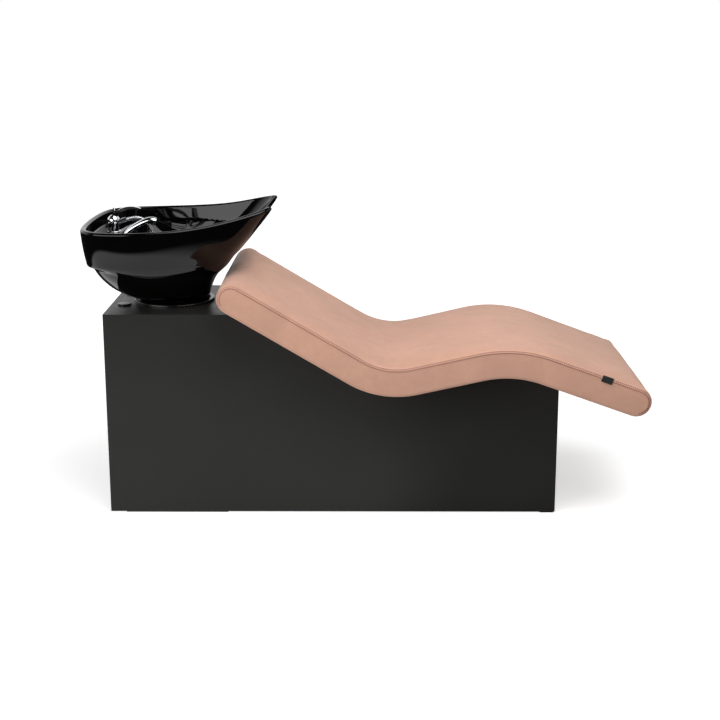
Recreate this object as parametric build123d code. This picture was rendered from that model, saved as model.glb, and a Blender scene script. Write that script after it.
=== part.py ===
from build123d import *
import os
from math import atan2, cos, degrees, hypot, pi, radians, sin, tan

os.makedirs("parts", exist_ok=True)

# Millimetres, +Z up, +X towards the foot end, +Y to the far side of the bed.

# Cabinet
head_end_x = -770
cabinet_length = 1354
cabinet_width = 414
deck_height = 620
board = 18
glide_height = 3
glide_width = 16
long_glide_length = 311
short_glide_length = 42
head_glide_inset = 47
foot_glide_inset = 4
base_board_height = 15
bay_length = 392
pipe_cut_out_length = 220
pipe_cut_out_width = 180
pipe_cut_out_radius = 20
seat_board = 12
rail_width = 40
rail_depth = 60
rail_places_shares = (0.17, 0.5, 0.82)
head_rail_depth = 50
seat_gap = 0.3

# Service panel and its catches
panel_gap = 1.5
panel_floor_gap = 4
knob_radius = 13
knob_length = 22
knob_stem_radius = 6
knob_drop = 180
magnet_radius = 7
magnet_length = 12
magnet_from_side = 38
strike_radius = 8
strike_thickness = 2

# Angle brackets and their screws
bracket_leg = 26
bracket_width = 22
bracket_sheet = 2.5
screw_shank_radius = 2
screw_head_radius = 4
screw_head_height = 2.2
screw_length = 13

# Deck fittings
deck_opening_radius = 108
collar_inner_radius = 109.5
collar_outer_radius = 123
collar_height = 8
collar_round = 3.5
cap_from_head_end = 41
cap_half_spacing = 74
cap_radius = 21
cap_height = 4.5
cap_round = 2
cap_plug_radius = 16.8
cap_hole_radius = 17
cap_plug_length = 11

# Cushion: the bends of its middle line, seen from the side, above or below the deck's top
cushion_head_x = -380
cushion_head_rise = 64
seat_bend_x = 58.3
seat_bend_drop = 197.8
seat_bend_radius = 235
knee_bend_x = 441.4
knee_bend_drop = 113
knee_bend_radius = 355
cushion_foot_x = 800
cushion_foot_drop = 242
cushion_half_thickness = 45
cushion_width = 597
cushion_crown = 6
side_tuck = 13
tag_length = 34
tag_height = 20
tag_thickness = 1.2
tag_x = 710

# Bowl
bowl_set_in = 185
bowl_rear_reach = 259
bowl_ear_reach = 339
bowl_half_width = 274
apron_rise = 142
rim_rise = 252
ear_lift = 56
rim_thickness = 17
rim_round = 5
ledge_rise = 213
ledge_front_reach = 155
ledge_thickness = 18
saddle_half_width = 119
saddle_half_height = 85
saddle_depth = 76
foot_radius = 103
foot_top_radius = 119
foot_cone_height = 70
skirt_drop = 12
foot_wall = 10
bowl_floor_rise = 78
bowl_floor_thickness = 30
tap_bay_half_width = 70
tap_bay_rear_wall = 30
tap_bay_front_wall = 12

# Tilting mount under the bowl
tilt_axis_rise = 2
yoke_sheet = 6
yoke_half_length = 150
yoke_half_width = 30
yoke_screw_inset = 15
cheek_half_spacing = 67
cheek_half_width = 18
lug_gap = 0.5
lug_half_width = 14
pin_radius = 6
pin_clearance = 0.05
pin_head_radius = 9
pin_head = 3
clip_radius = 9
clip_thickness = 1.2
mount_plate_half_length = 42
plate_opening_radius = 34
plate_bolt_x = 30
plate_bolt_y = 46
plate_bolt_radius = 4
plate_bolt_length = 24
plate_bolt_head_radius = 6.5
plate_bolt_head = 5
bolt_clearance = 0.2

# Waste
drain_hole_radius = 22.5
drain_tube_radius = 22
drain_tube_bore = 20.3
drain_tube_length = 62
drain_flange_radius = 36.5
drain_flange = 4
drain_seat_radius = 25
drain_recess = 5
gasket_thickness = 3
drain_nut_radius = 31
drain_nut_height = 10
tailpiece_radius = 20
tailpiece_bore = 18
tailpiece_overlap = 14
tailpiece_length = 130
tail_ring_radius = 22
tail_ring_height = 4
tail_free_length = 71
strainer_radius = 30
strainer_rim = 2
strainer_basket_radius = 17
strainer_basket_depth = 14
strainer_wall = 1.6
strainer_hole_radius = 2.2
strainer_holes = 10
strainer_knob_radius = 4.5
strainer_knob_height = 9

# Mixer tap
tap_set_back = 26
tap_flange_radius = 22
tap_flange = 3
tap_radius = 17
tap_height = 28
tap_shank_radius = 14
tap_shank_length = 36
tap_hole_clearance = 0.5
tap_nut_radius = 19
tap_nut_height = 7
tap_nut_bay_clearance = 1.5
inlet_radius = 5
inlet_spacing = 17
inlet_length = 38
outlet_length = 26
outlet_radius = 7.5
ball_radius = 15.5
ball_rise = 33
swivel_gap = 0.3
lift_pin_radius = 2.5
lift_pin_clearance = 0.05
lift_pin_half_length = 18.4
lever_cap_gap = 0.4
lever_cap_wall = 3.6
lever_cap_skirt = 6
lever_reach = 84
lever_rise = 39
lever_root_depth = 15
lever_root_back = 6
lever_half_width = 10
lever_tip_half_width = 6.5
lever_tip_thickness = 3.4
lever_arch_share = 0.16
lever_edge_round = 1.2
cap_pin_radius = 3
cap_pin_top_rise = 72
cap_pin_set_back = 14

# Handset and its holder
handset_from_ledge = 25
handset_y = -80
handset_tail_drop = 33
handset_tail_radius = 11.3
handset_tail_length = 20.3
shoulder_radius = 14
shoulder_height = 4
handset_reach = 91
handset_rise = 81
spray_radius = 9.5
spray_depth = 3
spray_proud = 1
spray_end_radius = 12
holder_ring_radius = 11.6
holder_ring_wall = 4
holder_ring_height = 12
holder_plate = 3
holder_plate_half_width = 12
holder_plate_length = 30
holder_strap = 2.4
holder_screw_inset = 11

# Shower hose: the points it follows from the tap to the handset, from the bowl's axis at deck height
hose_radius = 5
hose_nut_radius = 8
tap_nut_length = 12
hose_bend_share = 0.45
hose_route = (
    (-144, 8, 249),
    (-126, 14, 254.2),
    (-106.6, 25, 252.3),
    (-88, 38, 239),
    (-76, 53, 213),
    (-61, 70, 175),
    (-35, 82, 142),
    (5, 84, 116),
    (47, 62, 100),
    (71, 18, 89.5),
    (65, -32, 84.5),
    (29, -68, 83.5),
    (-19, -84, 84.5),
    (-61, -86, 89),
    (-96, -83, 100),
    (-119, -81, 118),
    (-130, -80, 142),
    (-130, -80, 166),
)

# One overrun serves all cuts
overrun = 40

# Derived places
foot_end_x = head_end_x + cabinet_length
side_y = cabinet_width / 2
inner_y = side_y - board
bay_end_x = head_end_x + board + bay_length
deck_under = deck_height - board
bowl_axis_x = head_end_x + bowl_set_in
bowl_rear_x = bowl_axis_x - bowl_rear_reach
bowl_length = bowl_rear_reach + bowl_ear_reach
floor_z = deck_height + bowl_floor_rise
ledge_z = deck_height + ledge_rise
foot_bottom_z = deck_height - skirt_drop
foot_ceiling_z = floor_z - bowl_floor_thickness
tilt_z = deck_height + tilt_axis_rise
tap_ball_z = ledge_z + ball_rise
ledge_front_x = bowl_axis_x - ledge_front_reach
tap_x = ledge_front_x - tap_set_back
handset_x = ledge_front_x + handset_from_ledge
handset_tail_z = ledge_z - handset_tail_drop


def block(x, y, z):
    """A box between the low and high end of each pair."""
    spans = (x, y, z)
    middle = [(low + high) / 2 for low, high in spans]
    return Pos(*middle) * Box(*[high - low for low, high in spans])


def disc(radius, low, high, x=0, y=0):
    """An upright cylinder between two heights."""
    return Pos(x, y, (low + high) / 2) * Cylinder(radius, high - low)


def rod(radius, start, end):
    """A cylinder between two points."""
    span = Vector(*end) - Vector(*start)
    return Solid.make_cylinder(radius, span.length, Plane(start, z_dir=span))


def turned(outline, x=0, y=0):
    """A solid of revolution about an upright axis, from radius and height pairs."""
    face = make_face(Polyline(*[(r, 0, z) for r, z in outline], close=True))
    return Pos(x, y, 0) * revolve(face, Axis.Z)


def save(shape, node):
    export_step(shape, f"parts/{node}.step")


# The cushion's middle line, and lines that run beside it
cushion_line = (
    (cushion_head_x, deck_height + cushion_head_rise),
    (seat_bend_x, deck_height - seat_bend_drop),
    (knee_bend_x, deck_height - knee_bend_drop),
    (cushion_foot_x, deck_height - cushion_foot_drop),
)


def run_directions():
    """The unit direction of each straight run of the cushion's middle line."""
    found = []
    for (x0, z0), (x1, z1) in zip(cushion_line, cushion_line[1:]):
        length = hypot(x1 - x0, z1 - z0)
        found.append(((x1 - x0) / length, (z1 - z0) / length))
    return found


def line_beside(drop, y=0, reach=0):
    """The middle line moved down by drop, square to itself, and longer at both ends by reach."""
    runs = run_directions()
    below = [(uz, -ux) for ux, uz in runs]
    points = []
    for i, (x, z) in enumerate(cushion_line):
        before = below[max(i - 1, 0)]
        after = below[min(i, len(below) - 1)]
        scale = drop / (1 + before[0] * after[0] + before[1] * after[1])
        points.append((x + scale * (before[0] + after[0]), z + scale * (before[1] + after[1])))
    (x0, z0), (x1, z1) = points[0], points[-1]
    points[0] = (x0 - reach * runs[0][0], z0 - reach * runs[0][1])
    points[-1] = (x1 + reach * runs[-1][0], z1 + reach * runs[-1][1])
    radii = [seat_bend_radius + drop, knee_bend_radius - drop]
    return FilletPolyline(*[(x, y, z) for x, z in points], radius=radii)


def space_under_cushion(depth):
    """Everything lower than the cushion's underside by depth."""
    top = line_beside(cushion_half_thickness + depth, reach=cabinet_length)
    start, end = top @ 0, top @ 1
    low = -cabinet_length
    sides = Polyline(end, (end.X, 0, low), (start.X, 0, low), start)
    face = make_face(top.edges() + sides.edges())
    return extrude(face, cabinet_width, dir=(0, 1, 0), both=True)


def cushion_outline(y, up, down):
    """The cushion's outline seen from the side, at one place across its width."""
    top = line_beside(-up, y)
    bottom = line_beside(down, y)
    runs = run_directions()
    ends = []
    for (x, z), (ux, uz), share in ((cushion_line[0], runs[0], 0), (cushion_line[-1], runs[-1], 1)):
        way = 1 if share else -1
        tip = (x + way * ux * down, y, z + way * uz * down)
        out = (way * ux, 0, way * uz)
        ends.append(TangentArc(top @ share, tip, tangent=out))
        ends.append(TangentArc(bottom @ share, tip, tangent=out))
    edges = top.edges() + bottom.edges()
    for arc in ends:
        edges += arc.edges()
    return Wire(edges)


# Across the half width: how far out, how full the side is, how much of the crown it has
cushion_section_shares = (
    (1.0, 0.30, 0.0),
    (0.992, 0.66, 0.0),
    (0.978, 0.88, 0.05),
    (0.955, 1.0, 0.15),
    (0.7, 1.0, 0.6),
    (0.35, 1.0, 0.9),
    (0.0, 1.0, 1.0),
)


def make_cushion():
    half = cushion_width / 2
    rows = [(share, full, crown) for share, full, crown in cushion_section_shares]
    rows += [(-share, full, crown) for share, full, crown in rows[-2::-1]]
    outlines = []
    for share, full, crown in rows:
        down = cushion_half_thickness - side_tuck * (1 - full)
        outlines.append(cushion_outline(half * share, down + cushion_crown * crown, down))
    save(Solid.make_loft(outlines, ruled=True), "cushion")
    top = line_beside(-cushion_half_thickness)
    ux, uz = run_directions()[-1]
    lean = degrees(atan2(uz, ux))
    end = top @ 1
    tag_z = end.Z + (tag_x - end.X) * uz / ux
    tag = Box(tag_length, tag_thickness, tag_height)
    tag_y = -half - seat_gap - tag_thickness / 2
    save(Pos(tag_x, tag_y, tag_z - tag_height / 2) * Rot(0, -lean, 0) * tag, "label_tag")


def make_cabinet(screws):
    base = glide_height
    under = space_under_cushion(seat_gap)
    for name, way in (("near", -1), ("far", 1)):
        y = sorted((way * inner_y, way * side_y))
        side = block((head_end_x, foot_end_x), y, (base, deck_height)) & under
        for screw in screws:
            side -= screw
        save(side, f"side_panel_{name}")
    inner = (-inner_y, inner_y)
    foot = block((foot_end_x - board, foot_end_x), inner, (base, deck_height)) & under
    save(foot, "foot_end_panel")
    floor_low, floor_high = base_board_height, base_board_height + board
    floor = block((head_end_x + board, foot_end_x - board), inner, (floor_low, floor_high))
    cut = extrude(RectangleRounded(pipe_cut_out_length, pipe_cut_out_width, pipe_cut_out_radius), floor_high)
    floor -= Pos(bowl_axis_x, 0, 0) * cut
    middle = floor_low + board / 2
    for y in magnet_places():
        floor -= rod(magnet_radius, (head_end_x, y, middle), magnet_end(y, middle))
    save(floor, "base_board")
    save(block((bay_end_x - board, bay_end_x), inner, (floor_high, deck_under)), "bulkhead")
    rail_x = (head_end_x + board + seat_gap, head_end_x + board + seat_gap + board)
    rail = block(rail_x, inner, (deck_under - head_rail_depth, deck_under))
    for y in magnet_places():
        rail -= rod(magnet_radius, (head_end_x, y, head_magnet_z()), magnet_end(y, head_magnet_z()))
    save(rail, "head_rail")
    shell = under - space_under_cushion(seat_gap + seat_board)
    shell &= block((bay_end_x, foot_end_x - board), inner, (base, deck_height))
    save(shell, "seat_board")
    save(Compound(seat_rails(screws)), "seat_rails")
    glides = []
    head_start = head_end_x + head_glide_inset
    for way in (-1, 1):
        y = way * (side_y - board / 2)
        span = (y - glide_width / 2, y + glide_width / 2)
        glides.append(block((head_start, head_start + long_glide_length), span, (0, base)))
        foot_stop = foot_end_x - foot_glide_inset
        glides.append(block((foot_stop - short_glide_length, foot_stop), span, (0, base)))
    save(Compound(glides), "glides")


def seat_rail_xs():
    start, stop = bay_end_x, foot_end_x - board
    return [start + (stop - start) * share for share in rail_places_shares]


def seat_rails(screws):
    """Cross rails whose tops follow the seat board, with flat undersides."""
    below_board = space_under_cushion(seat_gap + seat_board)
    rails = []
    for x in seat_rail_xs():
        width = (x - rail_width / 2, x + rail_width / 2)
        rail = block(width, (-inner_y, inner_y), (rail_under_z(x), deck_height)) & below_board
        for screw in screws:
            rail -= screw
        rails.append(rail)
    return rails


def rail_under_z(x):
    """The height of a cross rail's underside, its depth below the seat board."""
    below_board = space_under_cushion(seat_gap + seat_board)
    probe = block((x - seat_gap, x + seat_gap), (-seat_gap, seat_gap), (0, deck_height)) & below_board
    return probe.bounding_box().max.Z - rail_depth


def magnet_places():
    place = inner_y - magnet_from_side
    return (-place, place)


def head_magnet_z():
    return deck_under - head_rail_depth / 2


def magnet_end(y, z):
    return (head_end_x + board + seat_gap + magnet_length, y, z)


def catch_heights():
    return (base_board_height + board / 2, head_magnet_z())


def make_service_panel():
    back = head_end_x + board
    half = inner_y - panel_gap
    panel = block((head_end_x, back), (-half, half), (glide_height + panel_floor_gap, deck_under - panel_gap))
    magnets, strikes = [], []
    for z in catch_heights():
        start = back if z < head_magnet_z() else back + seat_gap
        for y in magnet_places():
            strike = rod(strike_radius, (back - strike_thickness, y, z), (back, y, z))
            panel -= strike
            strikes.append(strike)
            magnets.append(rod(magnet_radius, (start, y, z), magnet_end(y, z)))
    save(panel, "service_panel")
    save(Compound(strikes), "strike_plates")
    save(Compound(magnets), "catch_magnets")
    knob = turned(
        (
            (0, 0),
            (knob_stem_radius, 0),
            (knob_stem_radius, knob_length / 2),
            (knob_radius, knob_length - knob_stem_radius),
            (knob_radius, knob_length),
            (0, knob_length),
        )
    )
    knob_z = deck_height - knob_drop
    save(Pos(head_end_x, 0, knob_z) * Rot(0, -90, 0) * knob, "panel_knob")


def bracket(corner, down, inward):
    """An angle bracket in a corner, with one leg down and one inward, and its two screws."""
    x, y, z = corner
    width = (x - bracket_width / 2, x + bracket_width / 2)
    sheet = sorted((y, y + inward * bracket_sheet))
    legs = block(width, sheet, sorted((z, z + down * bracket_leg)))
    legs += block(width, sorted((y, y + inward * bracket_leg)), sorted((z, z + down * bracket_sheet)))
    middle = (bracket_leg + bracket_sheet) / 2
    screws = []
    for axis, at in (
        ((0, -inward, 0), (x, y + inward * bracket_sheet, z + down * middle)),
        ((0, 0, -down), (x, y + inward * middle, z + down * bracket_sheet)),
    ):
        place = Plane(at, z_dir=axis)
        legs -= Solid.make_cylinder(screw_shank_radius, bracket_sheet, place)
        outside = Plane(Vector(at) - Vector(axis) * screw_head_height, z_dir=axis)
        screw = Solid.make_cylinder(screw_head_radius, screw_head_height, outside)
        screws.append(screw + Solid.make_cylinder(screw_shank_radius, screw_length, place))
    return legs, screws


def make_brackets():
    legs, screws = [], []
    corners = [(x, rail_under_z(x)) for x in seat_rail_xs()]
    corners.append((bay_end_x - board - bracket_width, deck_under))
    corners.append((head_end_x + board + board + seat_gap + bracket_width, deck_under))
    for x, z in corners:
        for way in (-1, 1):
            found, pair = bracket((x, way * inner_y, z), -1, -way)
            legs.append(found)
            screws += pair
    return legs, screws


def make_deck(bracket_screws, yoke_screws):
    deck = block((head_end_x, bay_end_x), (-inner_y, inner_y), (deck_under, deck_height))
    deck &= space_under_cushion(seat_gap)
    deck -= disc(deck_opening_radius, deck_under, deck_height, bowl_axis_x)
    cap_x = head_end_x + cap_from_head_end
    caps = []
    for way in (-1, 1):
        y = way * cap_half_spacing
        deck -= disc(cap_hole_radius, deck_under, deck_height, cap_x, y)
        top = disc(cap_radius, deck_height, deck_height + cap_height, cap_x, y)
        top = fillet(top.edges().group_by(Axis.Z)[-1], cap_round)
        caps.append(top + disc(cap_plug_radius, deck_height - cap_plug_length, deck_height, cap_x, y))
    for screw in bracket_screws + yoke_screws:
        deck -= screw
    save(deck, "deck")
    save(Compound(caps), "deck_caps")
    lip = turned(
        (
            (collar_inner_radius, deck_height),
            (collar_outer_radius, deck_height),
            (collar_outer_radius, deck_height + collar_height),
            (collar_inner_radius, deck_height + collar_height),
        ),
        bowl_axis_x,
    )
    lip = fillet(lip.edges().group_by(Axis.Z)[-1], collar_round)
    save(lip, "collar")


# Plan of the bowl: along its length from the rear, and half its width
plan_shares = (
    (0.0, 0.0),
    (0.004, 0.30),
    (0.016, 0.56),
    (0.05, 0.79),
    (0.12, 0.925),
    (0.23, 0.985),
    (0.38, 1.0),
    (0.55, 0.957),
    (0.70, 0.86),
    (0.84, 0.735),
    (0.94, 0.62),
    (0.985, 0.49),
    (1.0, 0.27),
    (1.0, 0.0),
)

# Level, rear reach, front reach, half width, and how round the plan is there
hull_shares = (
    (0.11, 0.49, 0.316, 0.41, 1.0),
    (0.21, 0.60, 0.327, 0.49, 0.9),
    (0.33, 0.70, 0.345, 0.577, 0.75),
    (0.49, 0.788, 0.375, 0.67, 0.6),
    (0.72, 0.861, 0.445, 0.80, 0.4),
    (1.0, 0.911, 0.552, 0.905, 0.2),
)
apron_shares = (
    (0.54, 0.95, 0.54, 0.94, 0.15),
    (0.714, 0.973, 0.652, 0.97, 0.06),
    (1.0, 1.0, 0.823, 0.993, 0.0),
    (1.29, 1.015, 1.0, 1.0, 0.0),
)
well_shares = (
    (0.845, 0.988, 0.729, 0.982, 0.03),
    (1.0, 1.0, 0.823, 0.993, 0.0),
    (1.31, 1.015, 1.012, 1.0, 0.0),
)
basin_shares = (
    (0.366, 0.535, 0.236, 0.285, 1.0),
    (0.394, 0.78, 0.286, 0.43, 0.95),
    (0.451, 0.91, 0.327, 0.57, 0.8),
    (0.563, 0.968, 0.413, 0.737, 0.6),
    (0.728, 0.987, 0.517, 0.85, 0.3),
    (0.901, 0.997, 0.608, 0.893, 0.12),
    (1.033, 1.0, 0.673, 0.897, 0.08),
)
rim_line_shares = (
    (-0.05, 0.0),
    (0.20, 0.0),
    (0.365, 0.035),
    (0.53, 0.135),
    (0.70, 0.355),
    (0.866, 0.73),
    (0.95, 0.96),
    (1.03, 1.2),
)


def bowl_plan(height, rear, front, half, roundness):
    """A level outline of the bowl, between its own plan and an ellipse."""
    last = len(plan_shares) - 1
    side = []
    for i, (along, across) in enumerate(plan_shares):
        angle = pi * i / last
        along += ((1 - cos(angle)) / 2 - along) * roundness
        across += (sin(angle) - across) * roundness
        side.append((rear + (front - rear) * along, half * across))
    points = [(x, -y, height) for x, y in side] + [(x, y, height) for x, y in side[-2:0:-1]]
    return Wire([Spline(*points, periodic=True)])


def bowl_loft(shares, rise, rear_reach, inset=0):
    levels = []
    for level, rear, front, half, roundness in shares:
        rear_x = bowl_axis_x - rear_reach * rear + inset
        front_x = bowl_axis_x + bowl_ear_reach * front - inset
        half_y = bowl_half_width * half - inset
        levels.append(bowl_plan(deck_height + rise * level, rear_x, front_x, half_y, roundness))
    return Solid.make_loft(levels)


def space_over_rim():
    """Everything above the rim's rising line."""
    rim_z = deck_height + rim_rise
    points = []
    for along, up in rim_line_shares:
        points.append((bowl_rear_x + bowl_length * along, 0, rim_z + ear_lift * up))
    line = Spline(*points)
    high = rim_z + rim_rise
    start, end = line @ 0, line @ 1
    sides = Polyline(end, (end.X, 0, high), (start.X, 0, high), start)
    face = make_face(line.edges() + sides.edges())
    return extrude(face, bowl_half_width + overrun, dir=(0, 1, 0), both=True)


def make_bowl(plate_bolts):
    bowl = Part() + bowl_loft(hull_shares, apron_rise, bowl_rear_reach)
    bowl += bowl_loft(apron_shares, rim_rise, bowl_rear_reach)
    cone_place = Plane((bowl_axis_x, 0, deck_height))
    bowl += Solid.make_cone(foot_radius, foot_top_radius, foot_cone_height, cone_place)
    bowl += disc(foot_radius, foot_bottom_z, deck_height, bowl_axis_x)
    bowl -= bowl_loft(well_shares, rim_rise, bowl_rear_reach, rim_thickness)
    bowl -= bowl_loft(basin_shares, ledge_rise, ledge_front_reach)
    bowl -= space_over_rim()
    ear_z = deck_height + rim_rise + ear_lift
    notch = Pos(0, ear_z - saddle_depth + saddle_half_height) * Ellipse(saddle_half_width, saddle_half_height)
    notch_start = bowl_axis_x + bowl_ear_reach / 2
    bowl -= extrude(Plane.YZ.offset(notch_start) * notch, bowl_ear_reach)
    bowl -= disc(foot_radius - foot_wall, foot_bottom_z, foot_ceiling_z, bowl_axis_x)
    bowl -= disc(drain_hole_radius, foot_ceiling_z, floor_z, bowl_axis_x)
    bowl -= disc(drain_flange_radius + seat_gap, floor_z - drain_recess, floor_z + drain_recess, bowl_axis_x)
    tap_bay_x = (bowl_rear_x + tap_bay_rear_wall, ledge_front_x - tap_bay_front_wall)
    tap_bay_top = ledge_z - ledge_thickness
    bowl -= block(tap_bay_x, (-tap_bay_half_width, tap_bay_half_width), (deck_height, tap_bay_top))
    nut_bay = tap_nut_radius + tap_nut_bay_clearance
    bowl -= disc(nut_bay, tap_bay_top - tap_shank_length, tap_bay_top, tap_x)
    bowl -= disc(tap_shank_radius + tap_hole_clearance, tap_bay_top, ledge_z, tap_x)
    for bolt in plate_bolts:
        bowl -= bolt
    bowl -= holder_screw(bolt_clearance)
    rim_z = deck_height + rim_rise
    edges = []
    for edge in bowl.edges():
        height = edge.bounding_box()
        if height.min.Z > rim_z - rim_thickness and height.max.Z > rim_z:
            edges.append(edge)
    bowl = fillet(edges, rim_round)
    save(bowl, "bowl")
    return bowl


def plate_bolts(clearance=0):
    """Shanks of the four bolts that hold the mount plate to the bowl."""
    low = foot_ceiling_z - yoke_sheet
    found = []
    for x in (-plate_bolt_x, plate_bolt_x):
        for y in (-plate_bolt_y, plate_bolt_y):
            top = low + plate_bolt_length
            found.append(disc(plate_bolt_radius + clearance, low, top + clearance, bowl_axis_x + x, y))
    return found


def make_tilt_mount():
    x = bowl_axis_x
    plate_top = deck_under
    plate_low = plate_top - yoke_sheet
    half = yoke_half_width
    yoke = block((x - half, x + half), (-yoke_half_length, yoke_half_length), (plate_low, plate_top))
    yoke -= disc(tailpiece_radius + yoke_sheet, plate_low, plate_top, x)
    lug_y = cheek_half_spacing - lug_gap
    plate = block(
        (x - mount_plate_half_length, x + mount_plate_half_length),
        (-lug_y, lug_y),
        (foot_ceiling_z - yoke_sheet, foot_ceiling_z),
    )
    plate -= disc(plate_opening_radius, foot_ceiling_z - yoke_sheet, foot_ceiling_z, x)
    pins, clips = [], []
    for way in (-1, 1):
        cheek_in, cheek_out = way * cheek_half_spacing, way * (cheek_half_spacing + yoke_sheet)
        cheek_x = (x - cheek_half_width, x + cheek_half_width)
        cheek = block(cheek_x, sorted((cheek_in, cheek_out)), (plate_top, tilt_z))
        cheek += rod(cheek_half_width, (x, cheek_in, tilt_z), (x, cheek_out, tilt_z))
        cheek -= rod(pin_radius + pin_clearance, (x, cheek_in, tilt_z), (x, cheek_out, tilt_z))
        yoke += cheek
        lug_in, lug_out = way * (lug_y - yoke_sheet), way * lug_y
        lug_z = (tilt_z, foot_ceiling_z - yoke_sheet)
        lug = block((x - lug_half_width, x + lug_half_width), sorted((lug_in, lug_out)), lug_z)
        lug += rod(lug_half_width, (x, lug_in, tilt_z), (x, lug_out, tilt_z))
        lug -= rod(pin_radius, (x, lug_in, tilt_z), (x, lug_out, tilt_z))
        plate += lug
        head_end = lug_in - way * pin_head
        clip_in = cheek_out + way * lug_gap
        clip_out = clip_in + way * clip_thickness
        pin_end = clip_out + way * clip_thickness
        pin = rod(pin_radius, (x, lug_in, tilt_z), (x, pin_end, tilt_z))
        pin += rod(pin_head_radius, (x, head_end, tilt_z), (x, lug_in, tilt_z))
        pins.append(pin)
        clip = rod(clip_radius, (x, clip_in, tilt_z), (x, clip_out, tilt_z))
        clips.append(clip - rod(pin_radius, (x, clip_in, tilt_z), (x, clip_out, tilt_z)))
    screws = []
    for sx in (-1, 1):
        for sy in (-1, 1):
            at_x = x + sx * (yoke_half_width - yoke_screw_inset)
            at_y = sy * (yoke_half_length - yoke_screw_inset)
            shank = disc(screw_shank_radius, plate_low, plate_low + screw_length, at_x, at_y)
            yoke -= shank
            head = disc(screw_head_radius, plate_low - screw_head_height, plate_low, at_x, at_y)
            screws.append(shank + head)
    for bolt in plate_bolts():
        plate -= bolt
    save(yoke, "tilt_yoke")
    save(plate, "bowl_mount_plate")
    save(Compound(pins), "tilt_pins")
    save(Compound(clips), "pin_clips")
    save(Compound(screws), "yoke_screws")
    bolts = []
    head_low = foot_ceiling_z - yoke_sheet - plate_bolt_head
    for shank in plate_bolts():
        middle = shank.center()
        head = disc(plate_bolt_head_radius, head_low, head_low + plate_bolt_head, middle.X, middle.Y)
        bolts.append(shank + head)
    save(Compound(bolts), "mount_plate_bolts")
    return screws


def make_drain():
    x = bowl_axis_x
    flange_low = floor_z - drain_recess
    flange_top = flange_low + drain_flange
    tube_end = flange_low - drain_tube_length
    body = turned(
        (
            (drain_tube_bore, tube_end),
            (drain_tube_radius, tube_end),
            (drain_tube_radius, flange_low),
            (drain_flange_radius, flange_low),
            (drain_flange_radius, flange_top),
            (drain_seat_radius, flange_top),
            (drain_tube_bore, flange_top - drain_flange / 2),
        ),
        x,
    )
    save(body, "drain_body")
    gasket_low = foot_ceiling_z - gasket_thickness
    gasket = disc(drain_nut_radius, gasket_low, foot_ceiling_z, x)
    gasket -= disc(drain_tube_radius, gasket_low, foot_ceiling_z, x)
    save(gasket, "drain_gasket")
    nut_low = gasket_low - drain_nut_height
    nut = Pos(x, 0, nut_low) * extrude(RegularPolygon(drain_nut_radius, 6), drain_nut_height)
    save(nut - disc(drain_tube_radius, nut_low, gasket_low, x), "drain_nut")
    tail_top = tube_end + tailpiece_overlap
    tail_low = tail_top - tailpiece_length
    tail = disc(tailpiece_radius, tail_low, tail_top, x)
    for ring_low in (tube_end - tail_ring_height, tail_low + tail_free_length):
        tail += disc(tail_ring_radius, ring_low, ring_low + tail_ring_height, x)
    tail -= disc(tailpiece_bore, tail_low, tail_top, x)
    save(tail, "waste_tailpiece")
    rim_low = flange_top
    rim_top = rim_low + strainer_rim
    basket_low = rim_low - strainer_basket_depth
    strainer = turned(
        (
            (0, basket_low),
            (strainer_basket_radius, basket_low),
            (strainer_basket_radius, rim_low),
            (strainer_radius, rim_low),
            (strainer_radius, rim_top),
            (strainer_basket_radius - strainer_wall, rim_top),
            (strainer_basket_radius - strainer_wall, basket_low + strainer_wall),
            (strainer_knob_radius, basket_low + strainer_wall),
            (strainer_knob_radius, rim_top + strainer_knob_height),
            (0, rim_top + strainer_knob_height),
        ),
        x,
    )
    hole = disc(strainer_hole_radius, basket_low, basket_low + strainer_wall)
    ring_radius = (strainer_knob_radius + strainer_basket_radius) / 2
    for place in PolarLocations(ring_radius, strainer_holes):
        strainer -= Pos(x, 0, 0) * place * hole
    save(strainer, "strainer")


def hose_points():
    return [Vector(bowl_axis_x + x, y, deck_height + z) for x, y, z in hose_route]


def tap_outlet():
    """The hose nut's outer end and where it leaves the tap, along the hose's first run."""
    start, after = hose_points()[:2]
    way = (after - start).normalized()
    return start, start - way * tap_nut_length


def make_tap():
    body_top = ledge_z + tap_height
    flange = disc(tap_flange_radius, ledge_z, ledge_z + tap_flange, tap_x)
    flange = fillet(flange.edges().group_by(Axis.Z)[-1], tap_flange / 2)
    flange -= disc(tap_radius, ledge_z, ledge_z + tap_flange, tap_x)
    save(flange, "tap_flange")
    body = disc(tap_radius, ledge_z, body_top, tap_x)
    body += disc(tap_shank_radius, ledge_z - tap_shank_length, ledge_z, tap_x)
    hose_start, nut_start = tap_outlet()
    way = (hose_start - nut_start).normalized()
    boss = rod(outlet_radius, nut_start - way * outlet_length, nut_start)
    body += boss - disc(tap_radius, body_top, body_top + overrun, tap_x)
    save(body, "tap_body")
    shank_low = ledge_z - tap_shank_length
    nut_top = ledge_z - ledge_thickness
    nut = Pos(tap_x, 0, nut_top - tap_nut_height) * extrude(RegularPolygon(tap_nut_radius, 6), tap_nut_height)
    save(nut - disc(tap_shank_radius, nut_top - tap_nut_height, nut_top, tap_x), "tap_back_nut")
    inlets = []
    for way in (-1, 1):
        y = way * inlet_spacing / 2
        inlets.append(disc(inlet_radius, shank_low - inlet_length, shank_low, tap_x, y))
    save(Compound(inlets), "water_inlets")
    save(rod(hose_nut_radius, nut_start, hose_start), "tap_hose_nut")


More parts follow.
